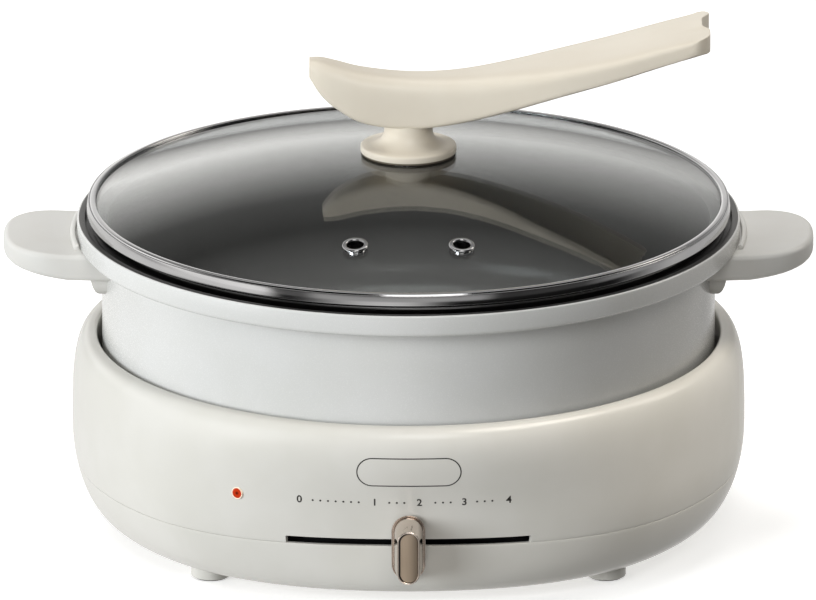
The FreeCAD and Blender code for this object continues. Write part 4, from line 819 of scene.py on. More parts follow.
@dataclass
class Studio:
    """A plain pale floor, a room of bright and dark walls to mirror, and soft lights.

    The room is the world. Its brightness goes by the direction that a ray leaves in, whose
    coordinates run from -1 to 1 and are X across, Y along and Z up, as in the frame.

    Attributes:
        floor_radius: The floor's radius, in metres.
        distance: How far off the lamps stand.
        middle: The height that they stand round.
        behind_left: Brightness by height in the room's back, at the left.
        behind_right: The same at the right.
        before: Brightness across the room's front, from left to right.
        to_left: Where the back passes from right to left.
        to_right: The same the other way.
        front_top: Where the room's front ends upwards.
        to_back: Where the front passes into the back.
        horizon: Where the lower half passes into the upper half.
        below: Brightness of the bounce from under the front.
        below_left: Where that bounce sets in at the left.
        below_right: Where it sets in at the right.
        below_side: Brightness of the low side light, mirrored in the steel band.
        side_across: Where the low side light sets in towards the left.
        side_rise: Where it sets in upwards.
        below_behind: Brightness of the bounce from behind.
        card: Its brightness where a card is seen in the glass.
        card_half: Where the card ends to either side.
        card_rise: Where it sets in upwards.
        dim: How much of the bounce from behind is taken off at the right.
        dim_across: Where that sets in.
        least: The brightness that every direction has.
        colour: The colour of the room's light.
    """

    floor_radius: float = 9.0
    distance: float = 2.7
    middle: float = 0.1
    behind_left: tuple[Point, ...] = (
        (0.0, 0.3), (0.17, 1.75), (0.36, 0.95), (0.5, 0.24), (0.62, 0.15), (1.0, 1.3),
    )
    behind_right: tuple[Point, ...] = (
        (0.0, 0.5), (0.17, 0.25), (0.36, 0.3), (0.5, 0.24), (0.62, 0.15), (1.0, 1.3),
    )
    before: tuple[Point, ...] = (
        (0.0, 1.2), (0.11, 1.3), (0.135, 0.12), (0.2, 0.12), (0.24, 0.5), (0.71, 0.5),
        (0.76, 0.04), (0.95, 0.06), (1.0, 0.4),
    )
    to_left: Span = (0.6, -0.3)
    to_right: Span = (-0.3, 0.6)
    front_top: Span = (0.4, 0.15)
    to_back: Span = (-0.25, 0.3)
    horizon: Span = (-0.05, 0.03)
    below: float = 0.85
    below_left: Span = (-0.7, -0.15)
    below_right: Span = (0.3, -0.1)
    below_side: float = 1.0
    side_across: Span = (-0.7, -0.8)
    side_rise: Span = (-0.3, -0.15)
    below_behind: float = 0.95
    card: float = 0.26
    card_half: Span = (0.18, 0.1)
    card_rise: Span = (-0.31, -0.28)
    dim: float = 0.35
    dim_across: Span = (0.1, 0.4)
    least: float = 0.01
    colour: Colour = (1.0, 0.985, 0.96, 1.0)

    def set_up(self) -> None:
        """Build the floor, the room and the lights."""
        self.lay_floor()
        self.light_room()
        for lamp in self.lamps():
            lamp.hang()
        bpy.context.scene.view_settings.view_transform = "Standard"

    def round_about(self, side: float, rise: float) -> tuple[float, float, float]:
        """Work out where a lamp stands.

        Args:
            side: Its angle from the front, in degrees, positive to the right.
            rise: Its angle above the level, in degrees.

        Returns:
            Its place, in metres.
        """
        side, rise = math.radians(side), math.radians(rise)
        level = self.distance * math.cos(rise)
        return (
            level * math.sin(side), -level * math.cos(side),
            self.middle + self.distance * math.sin(rise),
        )

    def lamps(self) -> list[Softbox]:
        """List the studio's lights, cool at the left and warm at the right.

        Returns:
            The lights, from the key light to the one that only reaches the lid.
        """
        place = self.round_about
        cool, mild, warm = (0.93, 0.97, 1.0), (1.0, 0.99, 0.97), (1.0, 0.94, 0.85)
        return [
            Softbox("key", place(-46, 12), 1.4, 43.0, colour=cool, mirrored=False),
            Softbox("side", place(-60, 8), 1.4, 22.0, colour=cool, mirrored=False),
            Softbox("front", place(6, 36), 1.2, 16.0, colour=mild),
            Softbox("rear", place(110, 35), 1.0, 10.0, colour=warm),
            Softbox("top", (0.0, 0.3, 2.9), 1.2, 24.0, (0.0, 0.3, 0.0), mirrored=False),
            Softbox("right", place(67, 60), 2.0, 51.0, height=1.2, colour=warm, only=LOWER_BODIES),
            Softbox("lid", place(60, 30), 1.2, 6.5, colour=warm, mirrored=False, only=(Body.LID,)),
        ]

    def lay_floor(self) -> None:
        """A wide round floor that neither bounces nor mirrors: the room's lower half does."""
        shape = bmesh.new()
        bmesh.ops.create_circle(shape, cap_ends=True, segments=96, radius=self.floor_radius)
        mesh = bpy.data.meshes.new("floor")
        shape.to_mesh(mesh)
        shape.free()
        floor = bpy.data.objects.new("floor", mesh)
        bpy.context.scene.collection.objects.link(floor)
        mesh.materials.append(PAPER.material())
        floor.visible_diffuse = floor.visible_glossy = False

    def light_room(self) -> None:
        """Light the room: by height behind, by side in front, and from under the floor."""
        world = bpy.data.worlds.new("room")
        bpy.context.scene.world = world
        recipe = Recipe(world)
        ray = recipe.node("ShaderNodeTexCoord", output="Generated")
        across, along, height = (
            recipe.node("ShaderNodeSeparateXYZ", sockets={0: ray}, output=name) for name in "XYZ"
        )
        back, above = along.ramp(*self.to_back), height.ramp(*self.horizon)
        sky = self.sky_behind(across, height) * back
        sky = sky + self.sky_before(across, height) * (1 - back)
        bounce = self.bounce_before(across, height) * (1 - back)
        bounce = bounce + back * self.bounce_behind(across, height)
        light = sky * above + bounce * (1 - above) + self.least
        background = recipe.node(
            "ShaderNodeBackground", sockets={"Color": self.colour, "Strength": light}
        )
        recipe.node("ShaderNodeOutputWorld", sockets={"Surface": background})

    @staticmethod
    def by(place: Wire, stops: Sequence[Point]) -> Wire:
        """A brightness that follows stops along a place."""
        settings = {"stops": [(where, (value, value, value, 1.0)) for where, value in stops]}
        return place.recipe.node("ShaderNodeValToRGB", settings, {"Fac": place}, "Color")

    def sky_behind(self, across: Wire, height: Wire) -> Wire:
        """The room's back above the horizon, by height, and another at each side."""
        left, right = self.by(height, self.behind_left), self.by(height, self.behind_right)
        return left * across.ramp(*self.to_left) + right * across.ramp(*self.to_right)

    def sky_before(self, across: Wire, height: Wire) -> Wire:
        """The room's front above the horizon: bright and dark walls from left to right."""
        return self.by(across * 0.5 + 0.5, self.before) * height.ramp(*self.front_top)

    def bounce_before(self, across: Wire, height: Wire) -> Wire:
        """The bounce from under the front, and the low side light.

        Args:
            across: How far a ray leads to the right.
            height: How far it leads up.

        Returns:
            The brightness there.
        """
        centre = across.ramp(*self.below_left) * across.ramp(*self.below_right)
        side = across.ramp(*self.side_across) * height.ramp(*self.side_rise)
        return centre * self.below + side * self.below_side

    def bounce_behind(self, across: Wire, height: Wire) -> Wire:
        """The bounce from behind, darker where the card is and at the right.

        Args:
            across: How far a ray leads to the right.
            height: How far it leads up.

        Returns:
            The brightness there.
        """
        card = across.size().ramp(*self.card_half) * height.ramp(*self.card_rise)
        low = card * (self.card - self.below_behind) + self.below_behind
        return low * (1 - across.ramp(*self.dim_across) * self.dim)


# ------------------------------------------------------------------------------ modelling
def smooth_curve(points: Sequence[Sequence[float]], count: int) -> list[tuple[float, ...]]:
    """Pass one smooth curve through points.

    Args:
        points: The points, of any number of coordinates.
        count: How many steps there are between two points.

    Returns:
        The curve's points, the given ones among them.
    """
    held = [Vector(point) for point in points]
    held = [2 * held[0] - held[1], *held, 2 * held[-1] - held[-2]]
    curve = []
    for before, start, end, after in zip(held, held[1:], held[2:], held[3:]):
        for step in range(count):
            share = step / count
            curve.append(
                0.5 * (
                    2 * start
                    + (end - before) * share
                    + (2 * before - 5 * start + 4 * end - after) * share**2
                    + (3 * start - before - 3 * end + after) * share**3
                )
            )
    return [tuple(point) for point in [*curve, held[-2]]]


def evenly(points: Sequence[Point], count: int) -> list[Point]:
    """Spread points evenly round a closed outline.

    Args:
        points: The outline's points, close together.
        count: How many points are wanted.

    Returns:
        The points, the first one kept.
    """
    ring = [Vector(point) for point in [*points, points[0]]]
    lengths = [(end - start).length for start, end in zip(ring, ring[1:])]
    pitch, spread, walked, side = sum(lengths) / count, [], 0.0, 0
    for index in range(count):
        while walked + lengths[side] < index * pitch:
            walked += lengths[side]
            side += 1
        share = (index * pitch - walked) / lengths[side]
        spread.append(tuple(ring[side].lerp(ring[side + 1], share)))
    return spread


def pill(width: float, height: float, count: int) -> list[Point]:
    """Draw an upright pill's outline.

    Args:
        width: Its width.
        height: Its height.
        count: How many points it has, evenly spread.

    Returns:
        The points, across and up from its middle.
    """
    bend, straight, turns = width / 2, (height - width) / 2, 90
    outline = []
    for centre, start in ((straight, 0.0), (-straight, math.pi)):
        for step in range(turns + 1):
            angle = start + math.pi * step / turns
            outline.append((bend * math.cos(angle), centre + bend * math.sin(angle)))
    return evenly(outline, count)


class Blank:
    """A piece being shaped with bmesh operators, in millimetres, until it is finished."""

    crease = math.radians(32)

    def __init__(self) -> None:
        """Start with nothing."""
        self.form = bmesh.new()

    def outline(
        self, corners: Iterable[Sequence[float]], closed: bool = True, plane: str = "XZ"
    ) -> list[bmesh.types.BMVert]:
        """Draw an outline and round its corners.

        Args:
            corners: Each corner's two coordinates, and its rounding's setback where it has one.
            closed: Whether it ends where it starts.
            plane: The plane that it lies in, XZ or XY.

        Returns:
            The outline's points, in no order.
        """
        drawn = []
        for first, second, *_ in corners:
            place = (first, 0.0, second) if plane == "XZ" else (first, second, 0.0)
            drawn.append(self.form.verts.new(place))
        ends = zip(drawn, drawn[1:] + drawn[:1]) if closed else zip(drawn, drawn[1:])
        for start, end in ends:
            self.form.edges.new((start, end))
        kept = []
        for point, (_, _, *setback) in zip(drawn, corners):
            if setback and setback[0]:
                bent = bmesh.ops.bevel(
                    self.form, geom=[point], offset=setback[0], offset_type="OFFSET",
                    segments=max(3, round(setback[0])), profile=0.5, affect="VERTICES",
                    material=-1,
                )
                kept += bent["verts"]
            else:
                kept.append(point)
        return kept

    def turn(self, steps: int = 192, angle: float = TURN) -> Blank:
        """Spin all that is drawn about the Z axis.

        Args:
            steps: The number of steps.
            angle: How far it turns.

        Returns:
            This blank.
        """
        whole = abs(angle - TURN) < 1e-9
        bmesh.ops.spin(
            self.form, geom=[*self.form.verts, *self.form.edges], cent=(0, 0, 0),
            axis=(0, 0, 1), dvec=(0, 0, 0), angle=angle, steps=steps, use_merge=whole,
            use_duplicate=False,
        )
        return self.tidy()

    def tidy(self) -> Blank:
        """Merge doubles, drop what collapsed, and turn the faces outward.

        Returns:
            This blank.
        """
        bmesh.ops.remove_doubles(self.form, verts=self.form.verts, dist=1e-4)
        bmesh.ops.dissolve_degenerate(self.form, dist=1e-5, edges=self.form.edges)
        bmesh.ops.recalc_face_normals(self.form, faces=self.form.faces)
        return self

    def ring(self, points: Sequence[Sequence[float]]) -> list[bmesh.types.BMEdge]:
        """Draw a closed ring, as the first rib of a skin.

        Args:
            points: The points that it runs through.

        Returns:
            Its edges.
        """
        circle = bmesh.ops.create_circle(self.form, segments=len(points), radius=1.0)["verts"]
        circle.sort(key=lambda point: math.atan2(point.co.y, point.co.x) % TURN)
        for point, place in zip(circle, points):
            point.co = place
        inside = set(circle)
        return [edge for edge in self.form.edges if inside.issuperset(edge.verts)]

    def skin(self, ribs: Sequence[Sequence[Sequence[float]]]) -> list[list[bmesh.types.BMEdge]]:
        """Stretch a skin over ribs that all have as many points.

        Args:
            ribs: Each rib's points, in the same order on every rib.

        Returns:
            The first and last ribs' edges.
        """

        def key(place: Sequence[float]) -> tuple[float, ...]:
            """What a point is found by again after an extrusion."""
            return tuple(round(c, 5) for c in place)

        first = edges = self.ring(ribs[0])
        for before, after in zip(ribs, ribs[1:]):
            grown = bmesh.ops.extrude_edge_only(self.form, edges=edges)["geom"]
            points = [item for item in grown if isinstance(item, bmesh.types.BMVert)]
            moves = {key(Vector(old)): new for old, new in zip(before, after)}
            for point in points:
                point.co = moves[key(point.co)]
            edges = [item for item in grown if isinstance(item, bmesh.types.BMEdge)]
            kept = set(points)
            edges = [edge for edge in edges if kept.issuperset(edge.verts)]
        return [first, edges]

    def cap(self, edges: Iterable[bmesh.types.BMEdge]) -> list[bmesh.types.BMFace]:
        """Close a ring of edges with one face."""
        return bmesh.ops.contextual_create(self.form, geom=list(edges))["faces"]

    def soften(
        self, edges: Iterable[bmesh.types.BMEdge], width: float, segments: int = 3
    ) -> Blank:
        """Round edges.

        Args:
            edges: The edges.
            width: How far the rounding reaches.
            segments: How many faces it has across.

        Returns:
            This blank.
        """
        bmesh.ops.bevel(
            self.form, geom=list(edges), offset=width, offset_type="OFFSET", segments=segments,
            profile=0.5, affect="EDGES", material=-1, clamp_overlap=True,
        )
        return self

    def sharp_edges(
        self, angle: float = 40.0, where: Callable[[Vector], bool] = lambda middle: True
    ) -> list[bmesh.types.BMEdge]:
        """Find the edges that fold.

        Args:
            angle: The least fold, in degrees.
            where: A test that an edge's middle has to pass.

        Returns:
            The edges.
        """
        fold = math.radians(angle)
        return [
            edge for edge in self.form.edges
            if len(edge.link_faces) == 2 and edge.calc_face_angle(0.0) > fold
            and where((edge.verts[0].co + edge.verts[1].co) / 2)
        ]

    def join(self, other: Blank) -> None:
        """Take in another blank.

        Args:
            other: The other blank, which is used up.
        """
        mesh = bpy.data.meshes.new("joined")
        other.form.to_mesh(mesh)
        other.form.free()
        self.form.from_mesh(mesh)
        bpy.data.meshes.remove(mesh)

    def move(self, matrix: Matrix) -> Blank:
        """Transform all of it."""
        bmesh.ops.transform(self.form, matrix=matrix, verts=self.form.verts)
        return self

    def finish(
        self, name: str, body: Body, finish: Finish, slot: str, stands_for: Sequence[str] = ()
    ) -> bpy.types.Object:
        """Make the piece: in metres, smooth between its creases, dressed and riding its body.

        Args:
            name: The piece's name.
            body: The body that it rides.
            finish: Its finish.
            slot: The record's material slot.
            stands_for: The CAD nodes that it replaces.

        Returns:
            The piece.
        """
        bmesh.ops.recalc_face_normals(self.form, faces=self.form.faces)
        bmesh.ops.scale(self.form, vec=(MM, MM, MM), verts=self.form.verts)
        mesh = bpy.data.meshes.new(name)
        self.form.to_mesh(mesh)
        self.form.free()
        return make_piece(mesh, name, body, finish, slot, stands_for, self.crease)


def make_piece(
    mesh: bpy.types.Mesh, name: str, body: Body, finish: Finish, slot: str,
    stands_for: Sequence[str] = (), crease: float = Blank.crease,
) -> bpy.types.Object:
    """Make an object of a mesh that is in its place, and hand it to the frame.

    Args:
        mesh: The mesh, in metres.
        name: The piece's name.
        body: The body that it rides.
        finish: Its finish.
        slot: The record's material slot; not used.
        stands_for: The CAD nodes that it replaces.
        crease: The fold above which an edge stays sharp.

    Returns:
        The piece.
    """
    mesh.shade_smooth()
    mesh.set_sharp_from_angle(angle=crease)
    mesh.materials.append(finish.material())
    piece = bpy.data.objects.new(name, mesh)
    bpy.context.scene.collection.objects.link(piece)
    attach(piece, body.value)
    if stands_for:
        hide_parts(*stands_for)
    pieces_of[body].append(piece)
    report.info("%s: %d faces, %s", name, len(mesh.polygons), finish.name)
    return piece


# ------------------------------------------------------------------------------ base
@dataclass
class BaseShells:
    """The upper and lower shells, with the seam between them, the slot and the inlet's window.

    Heights are over the floor. Above belly_height the wall is a superellipse of the power
    fullness, below it an ellipse. The front is drawn in by flat_depth at the seam, and by less
    above, below and to the sides.
    """

    well_radius: float = 145.0
    lip_flat: float = 1.5
    lip_round: float = 1.2
    rim_height: float = 91.0
    belly_radius: float = 156.7
    belly_height: float = 48.0
    fullness: float = 3.0
    floor_radius: float = 137.0
    floor_height: float = 6.0
    wall: float = 2.5
    seam: float = 31.3
    seam_round: float = 0.22
    seam_gap: float = 0.04
    slot_top: float = 34.9
    slot_steps: int = 18
    slot_corner: float = 1.3
    ledge_radius: float = 122.0
    ledge_top: float = 56.0
    ledge_bottom: float = 53.5
    ledge_round: float = 0.4
    window_low: float = 33.0
    window_top: float = 51.6
    window_steps: int = 5
    flat_depth: float = 14.0
    flat_half_angle: float = 50.0
    flat_fade_down: float = 50.0
    wall_start: float = 1.0
    steps: int = 288

    def radius(self, height: float) -> float:
        """Work out the outside's radius, away from the flattened front.

        Args:
            height: A height on the wall.

        Returns:
            The radius there.
        """
        if height >= self.belly_height:
            share = (height - self.belly_height) / (self.rim_height - self.belly_height)
            inner, power = self.well_radius + self.lip_flat, self.fullness
        else:
            share = (self.belly_height - height) / (self.belly_height - self.floor_height)
            inner, power = self.floor_radius, 2.0
        reach = self.belly_radius - inner
        return inner + reach * max(0.0, 1 - share**power) ** (1 / power)

    def depth(self, height: float) -> float:
        """Work out how far the middle of the front is drawn in.

        Args:
            height: A height on the wall.

        Returns:
            The depth there.
        """
        if height >= self.seam:
            share = (height - self.seam) / (self.rim_height - self.seam)
        else:
            share = (self.seam - height) / self.flat_fade_down
        return self.flat_depth * math.cos(min(share, 1.0) * math.pi / 2) ** 2

    def flatten(self, shape: Blank, beyond: float) -> None:
        """Draw the front in.

        Args:
            shape: The shell.
            beyond: The radius inside which nothing moves.
        """
        for point in shape.form.verts:
            across, along, height = point.co
            radius, angle = math.hypot(across, along), math.degrees(math.atan2(across, -along))
            if radius > beyond and abs(angle) < self.flat_half_angle:
                fade = math.cos(math.radians(90 * angle / self.flat_half_angle)) ** 2
                near = (radius - self.depth(height) * fade) / radius
                point.co = (across * near, along * near, height)

    def wall_heights(self) -> list[float]:
        """Choose the levels of the upper wall.

        Returns:
            The heights, rising, and crowded towards the lip.
        """
        low = [self.seam + (self.belly_height - self.seam) * step / 6 for step in range(1, 6)]
        rise, turns = self.rim_height - self.belly_height, 24
        high = [
            self.belly_height + rise * math.sin(math.pi / 2 * step / turns) ** (2 / 3)
            for step in range(turns)
        ]
        return sorted([*low, *high, self.window_low, self.slot_top, self.window_top])

    def cut_window(self, shape: Blank, inside: Callable[[Vector], bool]) -> list:
        """Take out the faces of a window in the wall, and line its edge.

        Args:
            shape: The shell.
            inside: Whether a face's middle is in the window.

        Returns:
            The lining's faces.
        """
        form = shape.form
        gone = [face for face in form.faces if inside(face.calc_center_median())]
        bmesh.ops.delete(form, geom=gone, context="FACES")
        edges = [edge for edge in form.edges if edge.is_boundary]
        middle = self.wall / 2

        def is_radial(edge: bmesh.types.BMEdge) -> bool:
            """Whether an edge runs through the wall."""
            start, end = (math.hypot(point.co.x, point.co.y) for point in edge.verts)
            return abs(start - end) > middle

        edges = [edge for edge in edges if not is_radial(edge)]
        return bmesh.ops.bridge_loops(form, edges=edges)["faces"]

    def build_upper(self) -> bpy.types.Object:
        """Make the upper shell: the wall, the lip, the well and its ledge.

        Returns:
            The piece.
        """
        heights, wall, setback = self.wall_heights(), self.wall, self.seam_round
        low = self.seam + self.seam_gap
        outside = [(self.radius(height), height) for height in heights]
        inner = [
            (self.radius(height) - wall, height)
            for height in heights if height < self.ledge_bottom
        ]
        shape = Blank()
        shape.outline([
            (self.radius(low) - wall, low, setback),
            (self.radius(low), low, setback),
            *outside,
            (self.well_radius + self.lip_flat, self.rim_height),
            (self.well_radius, self.rim_height, self.lip_round),
            (self.well_radius, self.ledge_top),
            (self.ledge_radius, self.ledge_top, self.ledge_round),
            (self.ledge_radius, self.ledge_bottom, self.ledge_round),
            (self.radius(self.ledge_bottom) - wall, self.ledge_bottom),
            *reversed(inner),
        ])
        shape.turn(self.steps)
        half_slot = TURN * self.slot_steps / self.steps
        half_window = TURN * self.window_steps / self.steps

        def in_slot(middle: Vector) -> bool:
            """Whether a point is in the slot."""
            return middle.z < self.slot_top and abs(math.atan2(middle.x, -middle.y)) < half_slot

        def in_window(middle: Vector) -> bool:
            """Whether a point is behind the inlet."""
            skin = math.hypot(middle.x, middle.y) > self.well_radius + self.wall_start
            behind = abs(math.atan2(middle.x, middle.y)) < half_window
            return skin and behind and self.window_low < middle.z < self.window_top

        self.cut_window(shape, in_slot)
        self.cut_window(shape, in_window)
        shape.tidy()
        shape.soften(shape.sharp_edges(60.0, lambda middle: (
            abs(middle.z - self.slot_top) < 0.01
            and abs(abs(math.atan2(middle.x, -middle.y)) - half_slot) < 1e-4
        )), self.slot_corner, 5)
        self.flatten(shape, self.well_radius + self.wall_start)
        self.shell = BVHTree.FromBMesh(shape.form)
        return shape.finish("shell_upper", Body.BASE, IVORY, "base_plastic", ["upper_shell"])

    def build_lower(self) -> bpy.types.Object:
        """Make the lower shell: an undercut bowl with a flat floor.

        Returns:
            The piece.
        """
        top, wall = self.seam - self.seam_gap, self.wall
        turns, drop = 22, self.belly_height - self.floor_height
        start = math.asin((self.belly_height - top) / drop)
        heights = [
            self.belly_height - drop * math.sin(start + (math.pi / 2 - start) * step / turns)
            for step in range(1, turns)
        ]
        floor = self.floor_height + wall
        shape = Blank()
        shape.outline([
            (0.0, self.floor_height),
            (self.floor_radius, self.floor_height),
            *((self.radius(height), height) for height in reversed(heights)),
            (self.radius(top), top, self.seam_round),
            (self.radius(top) - wall, top, self.seam_round),
            *((self.radius(height) - wall, height) for height in heights if height > floor + 0.5),
            (self.radius(floor) - wall, floor),
            (0.0, floor),
        ], closed=False)
        shape.turn(self.steps)
        self.flatten(shape, self.floor_radius - self.wall_start)
        return shape.finish("shell_lower", Body.BASE, IVORY, "base_plastic", ["lower_shell"])


@dataclass
class Feet:
    """Four short round feet with rubber pads."""

    circle: float = 129.0
    radius: float = 9.2
    height: float = 6.3
    low: float = 0.7
    low_round: float = 0.15
    edge_round: float = 0.5
    pad_radius: float = 8.2
    pad_top: float = 1.8
    pad_gap: float = 0.1
    steps: int = 64

    def build(self) -> None:
        """Make each foot and its pad."""
        corners = {"front_left": -45, "front_right": 45, "rear_left": -135, "rear_right": 135}
        for name, angle in corners.items():
            turn = math.radians(angle)
            place = Matrix.Translation((
                self.circle * math.sin(turn), -self.circle * math.cos(turn), 0.0
            ))
            foot = Blank()
            foot.outline([
                (self.pad_radius, self.low, self.low_round),
                (self.radius, self.low, self.edge_round),
                (self.radius, self.height), (0.0, self.height),
            ], closed=False)
            foot.outline([(0.0, self.pad_top), (self.pad_radius, self.pad_top),
                          (self.pad_radius, self.low + 0.02)], closed=False)
            foot.turn(self.steps).move(place)
            foot.finish(f"foot_{name}_body", Body.BASE, IVORY, "base_plastic", [f"foot_{name}"])
            pad, outer = Blank(), self.pad_radius - self.pad_gap
            pad.outline([
                (0.0, 0.0), (outer, 0.0, self.edge_round),
                (outer, self.pad_top), (0.0, self.pad_top),
            ], closed=False)
            pad.turn(self.steps).move(place)
            pad.finish(f"foot_{name}_rubber", Body.BASE, RUBBER, "rubber", [f"foot_pad_{name}"])


@dataclass
class Markings:
    """The printed scale over the slot, plain numbers and dots, and the bare pill outline."""

    level: float = 54.2
    figure_height: float = 3.7
    text_size: float = 1.38
    places: tuple[float, ...] = (-50.0, -15.5, 5.0, 25.6, 46.0)
    dots: tuple[tuple[float, float, int], ...] = (
        (-43.9, -22.8, 7), (-8.8, -1.9, 3), (12.3, 19.3, 3), (31.4, 38.4, 3),
    )
    dot_radius: float = 0.5
    dot_sides: int = 20
    frame_middle: Point = (0.2, 70.4)
    frame_width: float = 48.2
    frame_height: float = 14.8
    frame_points: int = 160
    line: float = 0.55
    boldness: float = 0.1
    proud: float = 0.04
    sunk: float = 0.12
    ray_start: float = -400.0

    def lay(self, shape: Blank, shell: BVHTree) -> Blank:
        """Lay a flat drawing on the shell.

        Args:
            shape: The drawing: across in X, up in Z, and its thickness in Y, front below nought.
            shell: The shell's surface.

        Returns:
            The drawing on the shell.
        """
        for point in shape.form.verts:
            across, depth, up = point.co
            met = shell.ray_cast(Vector((across, self.ray_start, up)), Vector((0.0, 1.0, 0.0)))[0]
            point.co.y = met.y + (-self.proud if depth < 0 else self.sunk)
        return shape

    def figure(self, text: str) -> Blank:
        """Draw one figure.

        Args:
            text: What it says.

        Returns:
            The figure, upright and centred over the origin.
        """
        curve = bpy.data.curves.new("figure", "FONT")
        curve.body, curve.align_x, curve.align_y = text, "CENTER", "CENTER"
        curve.size, curve.extrude = self.figure_height * self.text_size, 0.5
        curve.offset = self.boldness
        letter = bpy.data.objects.new("figure", curve)
        bpy.context.scene.collection.objects.link(letter)
        bpy.context.view_layer.update()
        mesh = bpy.data.meshes.new_from_object(letter)
        shape = Blank()
        shape.form.from_mesh(mesh)
        bpy.data.objects.remove(letter)
        bpy.data.curves.remove(curve)
        bpy.data.meshes.remove(mesh)
        bmesh.ops.remove_doubles(shape.form, verts=shape.form.verts, dist=1e-4)
        return shape.move(Matrix.Rotation(math.pi / 2, 4, "X"))

    def build(self, shell: BVHTree) -> None:
        """Print the scale and the outline.

        Args:
            shell: The shell's surface.
        """
        for value, place in enumerate(self.places):
            shape = self.figure(str(value)).move(Matrix.Translation((place, 0.0, self.level)))
            self.lay(shape, shell)
            shape.finish(f"scale_figure_{value}", Body.BASE, INK, "base_plastic")
        dots = Blank()
        for start, end, count in self.dots:
            for step in range(count):
                across = start + (end - start) * step / (count - 1)
                place = Matrix.Translation((across, 0.0, self.level))
                bmesh.ops.create_cone(
                    dots.form, cap_ends=True, cap_tris=False,
                    segments=self.dot_sides,
                    radius1=self.dot_radius, radius2=self.dot_radius, depth=1.0,
                    matrix=place @ Matrix.Rotation(math.pi / 2, 4, "X"),
                )
        self.lay(dots, shell).finish("scale_dots", Body.BASE, INK, "base_plastic")
        self.build_frame(shell)

    def build_frame(self, shell: BVHTree) -> None:
        """Print the pill outline: two rings of edges bridged, then thickened.

        Args:
            shell: The shell's surface.
        """
        frame_shape = Blank()
        edges = []
        for width, height in (
            (self.frame_height, self.frame_width),
            (self.frame_height - 2 * self.line, self.frame_width - 2 * self.line),
        ):
            edges += frame_shape.ring([
                (up + self.frame_middle[0], -0.5, across + self.frame_middle[1])
                for across, up in pill(width, height, self.frame_points)
            ])
        faces = bmesh.ops.bridge_loops(frame_shape.form, edges=edges)["faces"]
        grown = bmesh.ops.extrude_face_region(frame_shape.form, geom=faces)["geom"]
        points = [item for item in grown if isinstance(item, bmesh.types.BMVert)]
        bmesh.ops.translate(frame_shape.form, vec=(0.0, 1.0, 0.0), verts=points)
        self.lay(frame_shape, shell).finish("front_outline", Body.BASE, INK, "base_plastic")


@dataclass
class IndicatorCollar:
    """The collar round the indicator's lens, coloured pale and warm to paint the lens's glow on
    it.
    """

    across: float = -78.6
    along: float = -132.2
    height: float = 54.0
    outward: float = -30.7
    bore: float = 2.42
    outer: float = 2.85
    proud: float = 0.3
    sunk: float = 1.2

    def build(self) -> None:
        """Turn the collar and stand it on the shell."""
        shape = Blank()
        shape.outline([
            (self.bore, -self.sunk), (self.outer, -self.sunk), (self.outer, self.proud, 0.12),
            (self.bore, self.proud, 0.08),
        ])
        shape.turn(48)
        turn = math.radians(self.outward)
        normal = Vector((math.sin(turn), -math.cos(turn), 0.0))
        place = Matrix.Translation((self.across, self.along, self.height))
        shape.move(place @ normal.to_track_quat("Z", "Y").to_matrix().to_4x4())
        shape.finish("indicator_collar", Body.BASE, PAINTED_LENS_GLOW, "lens_plastic")


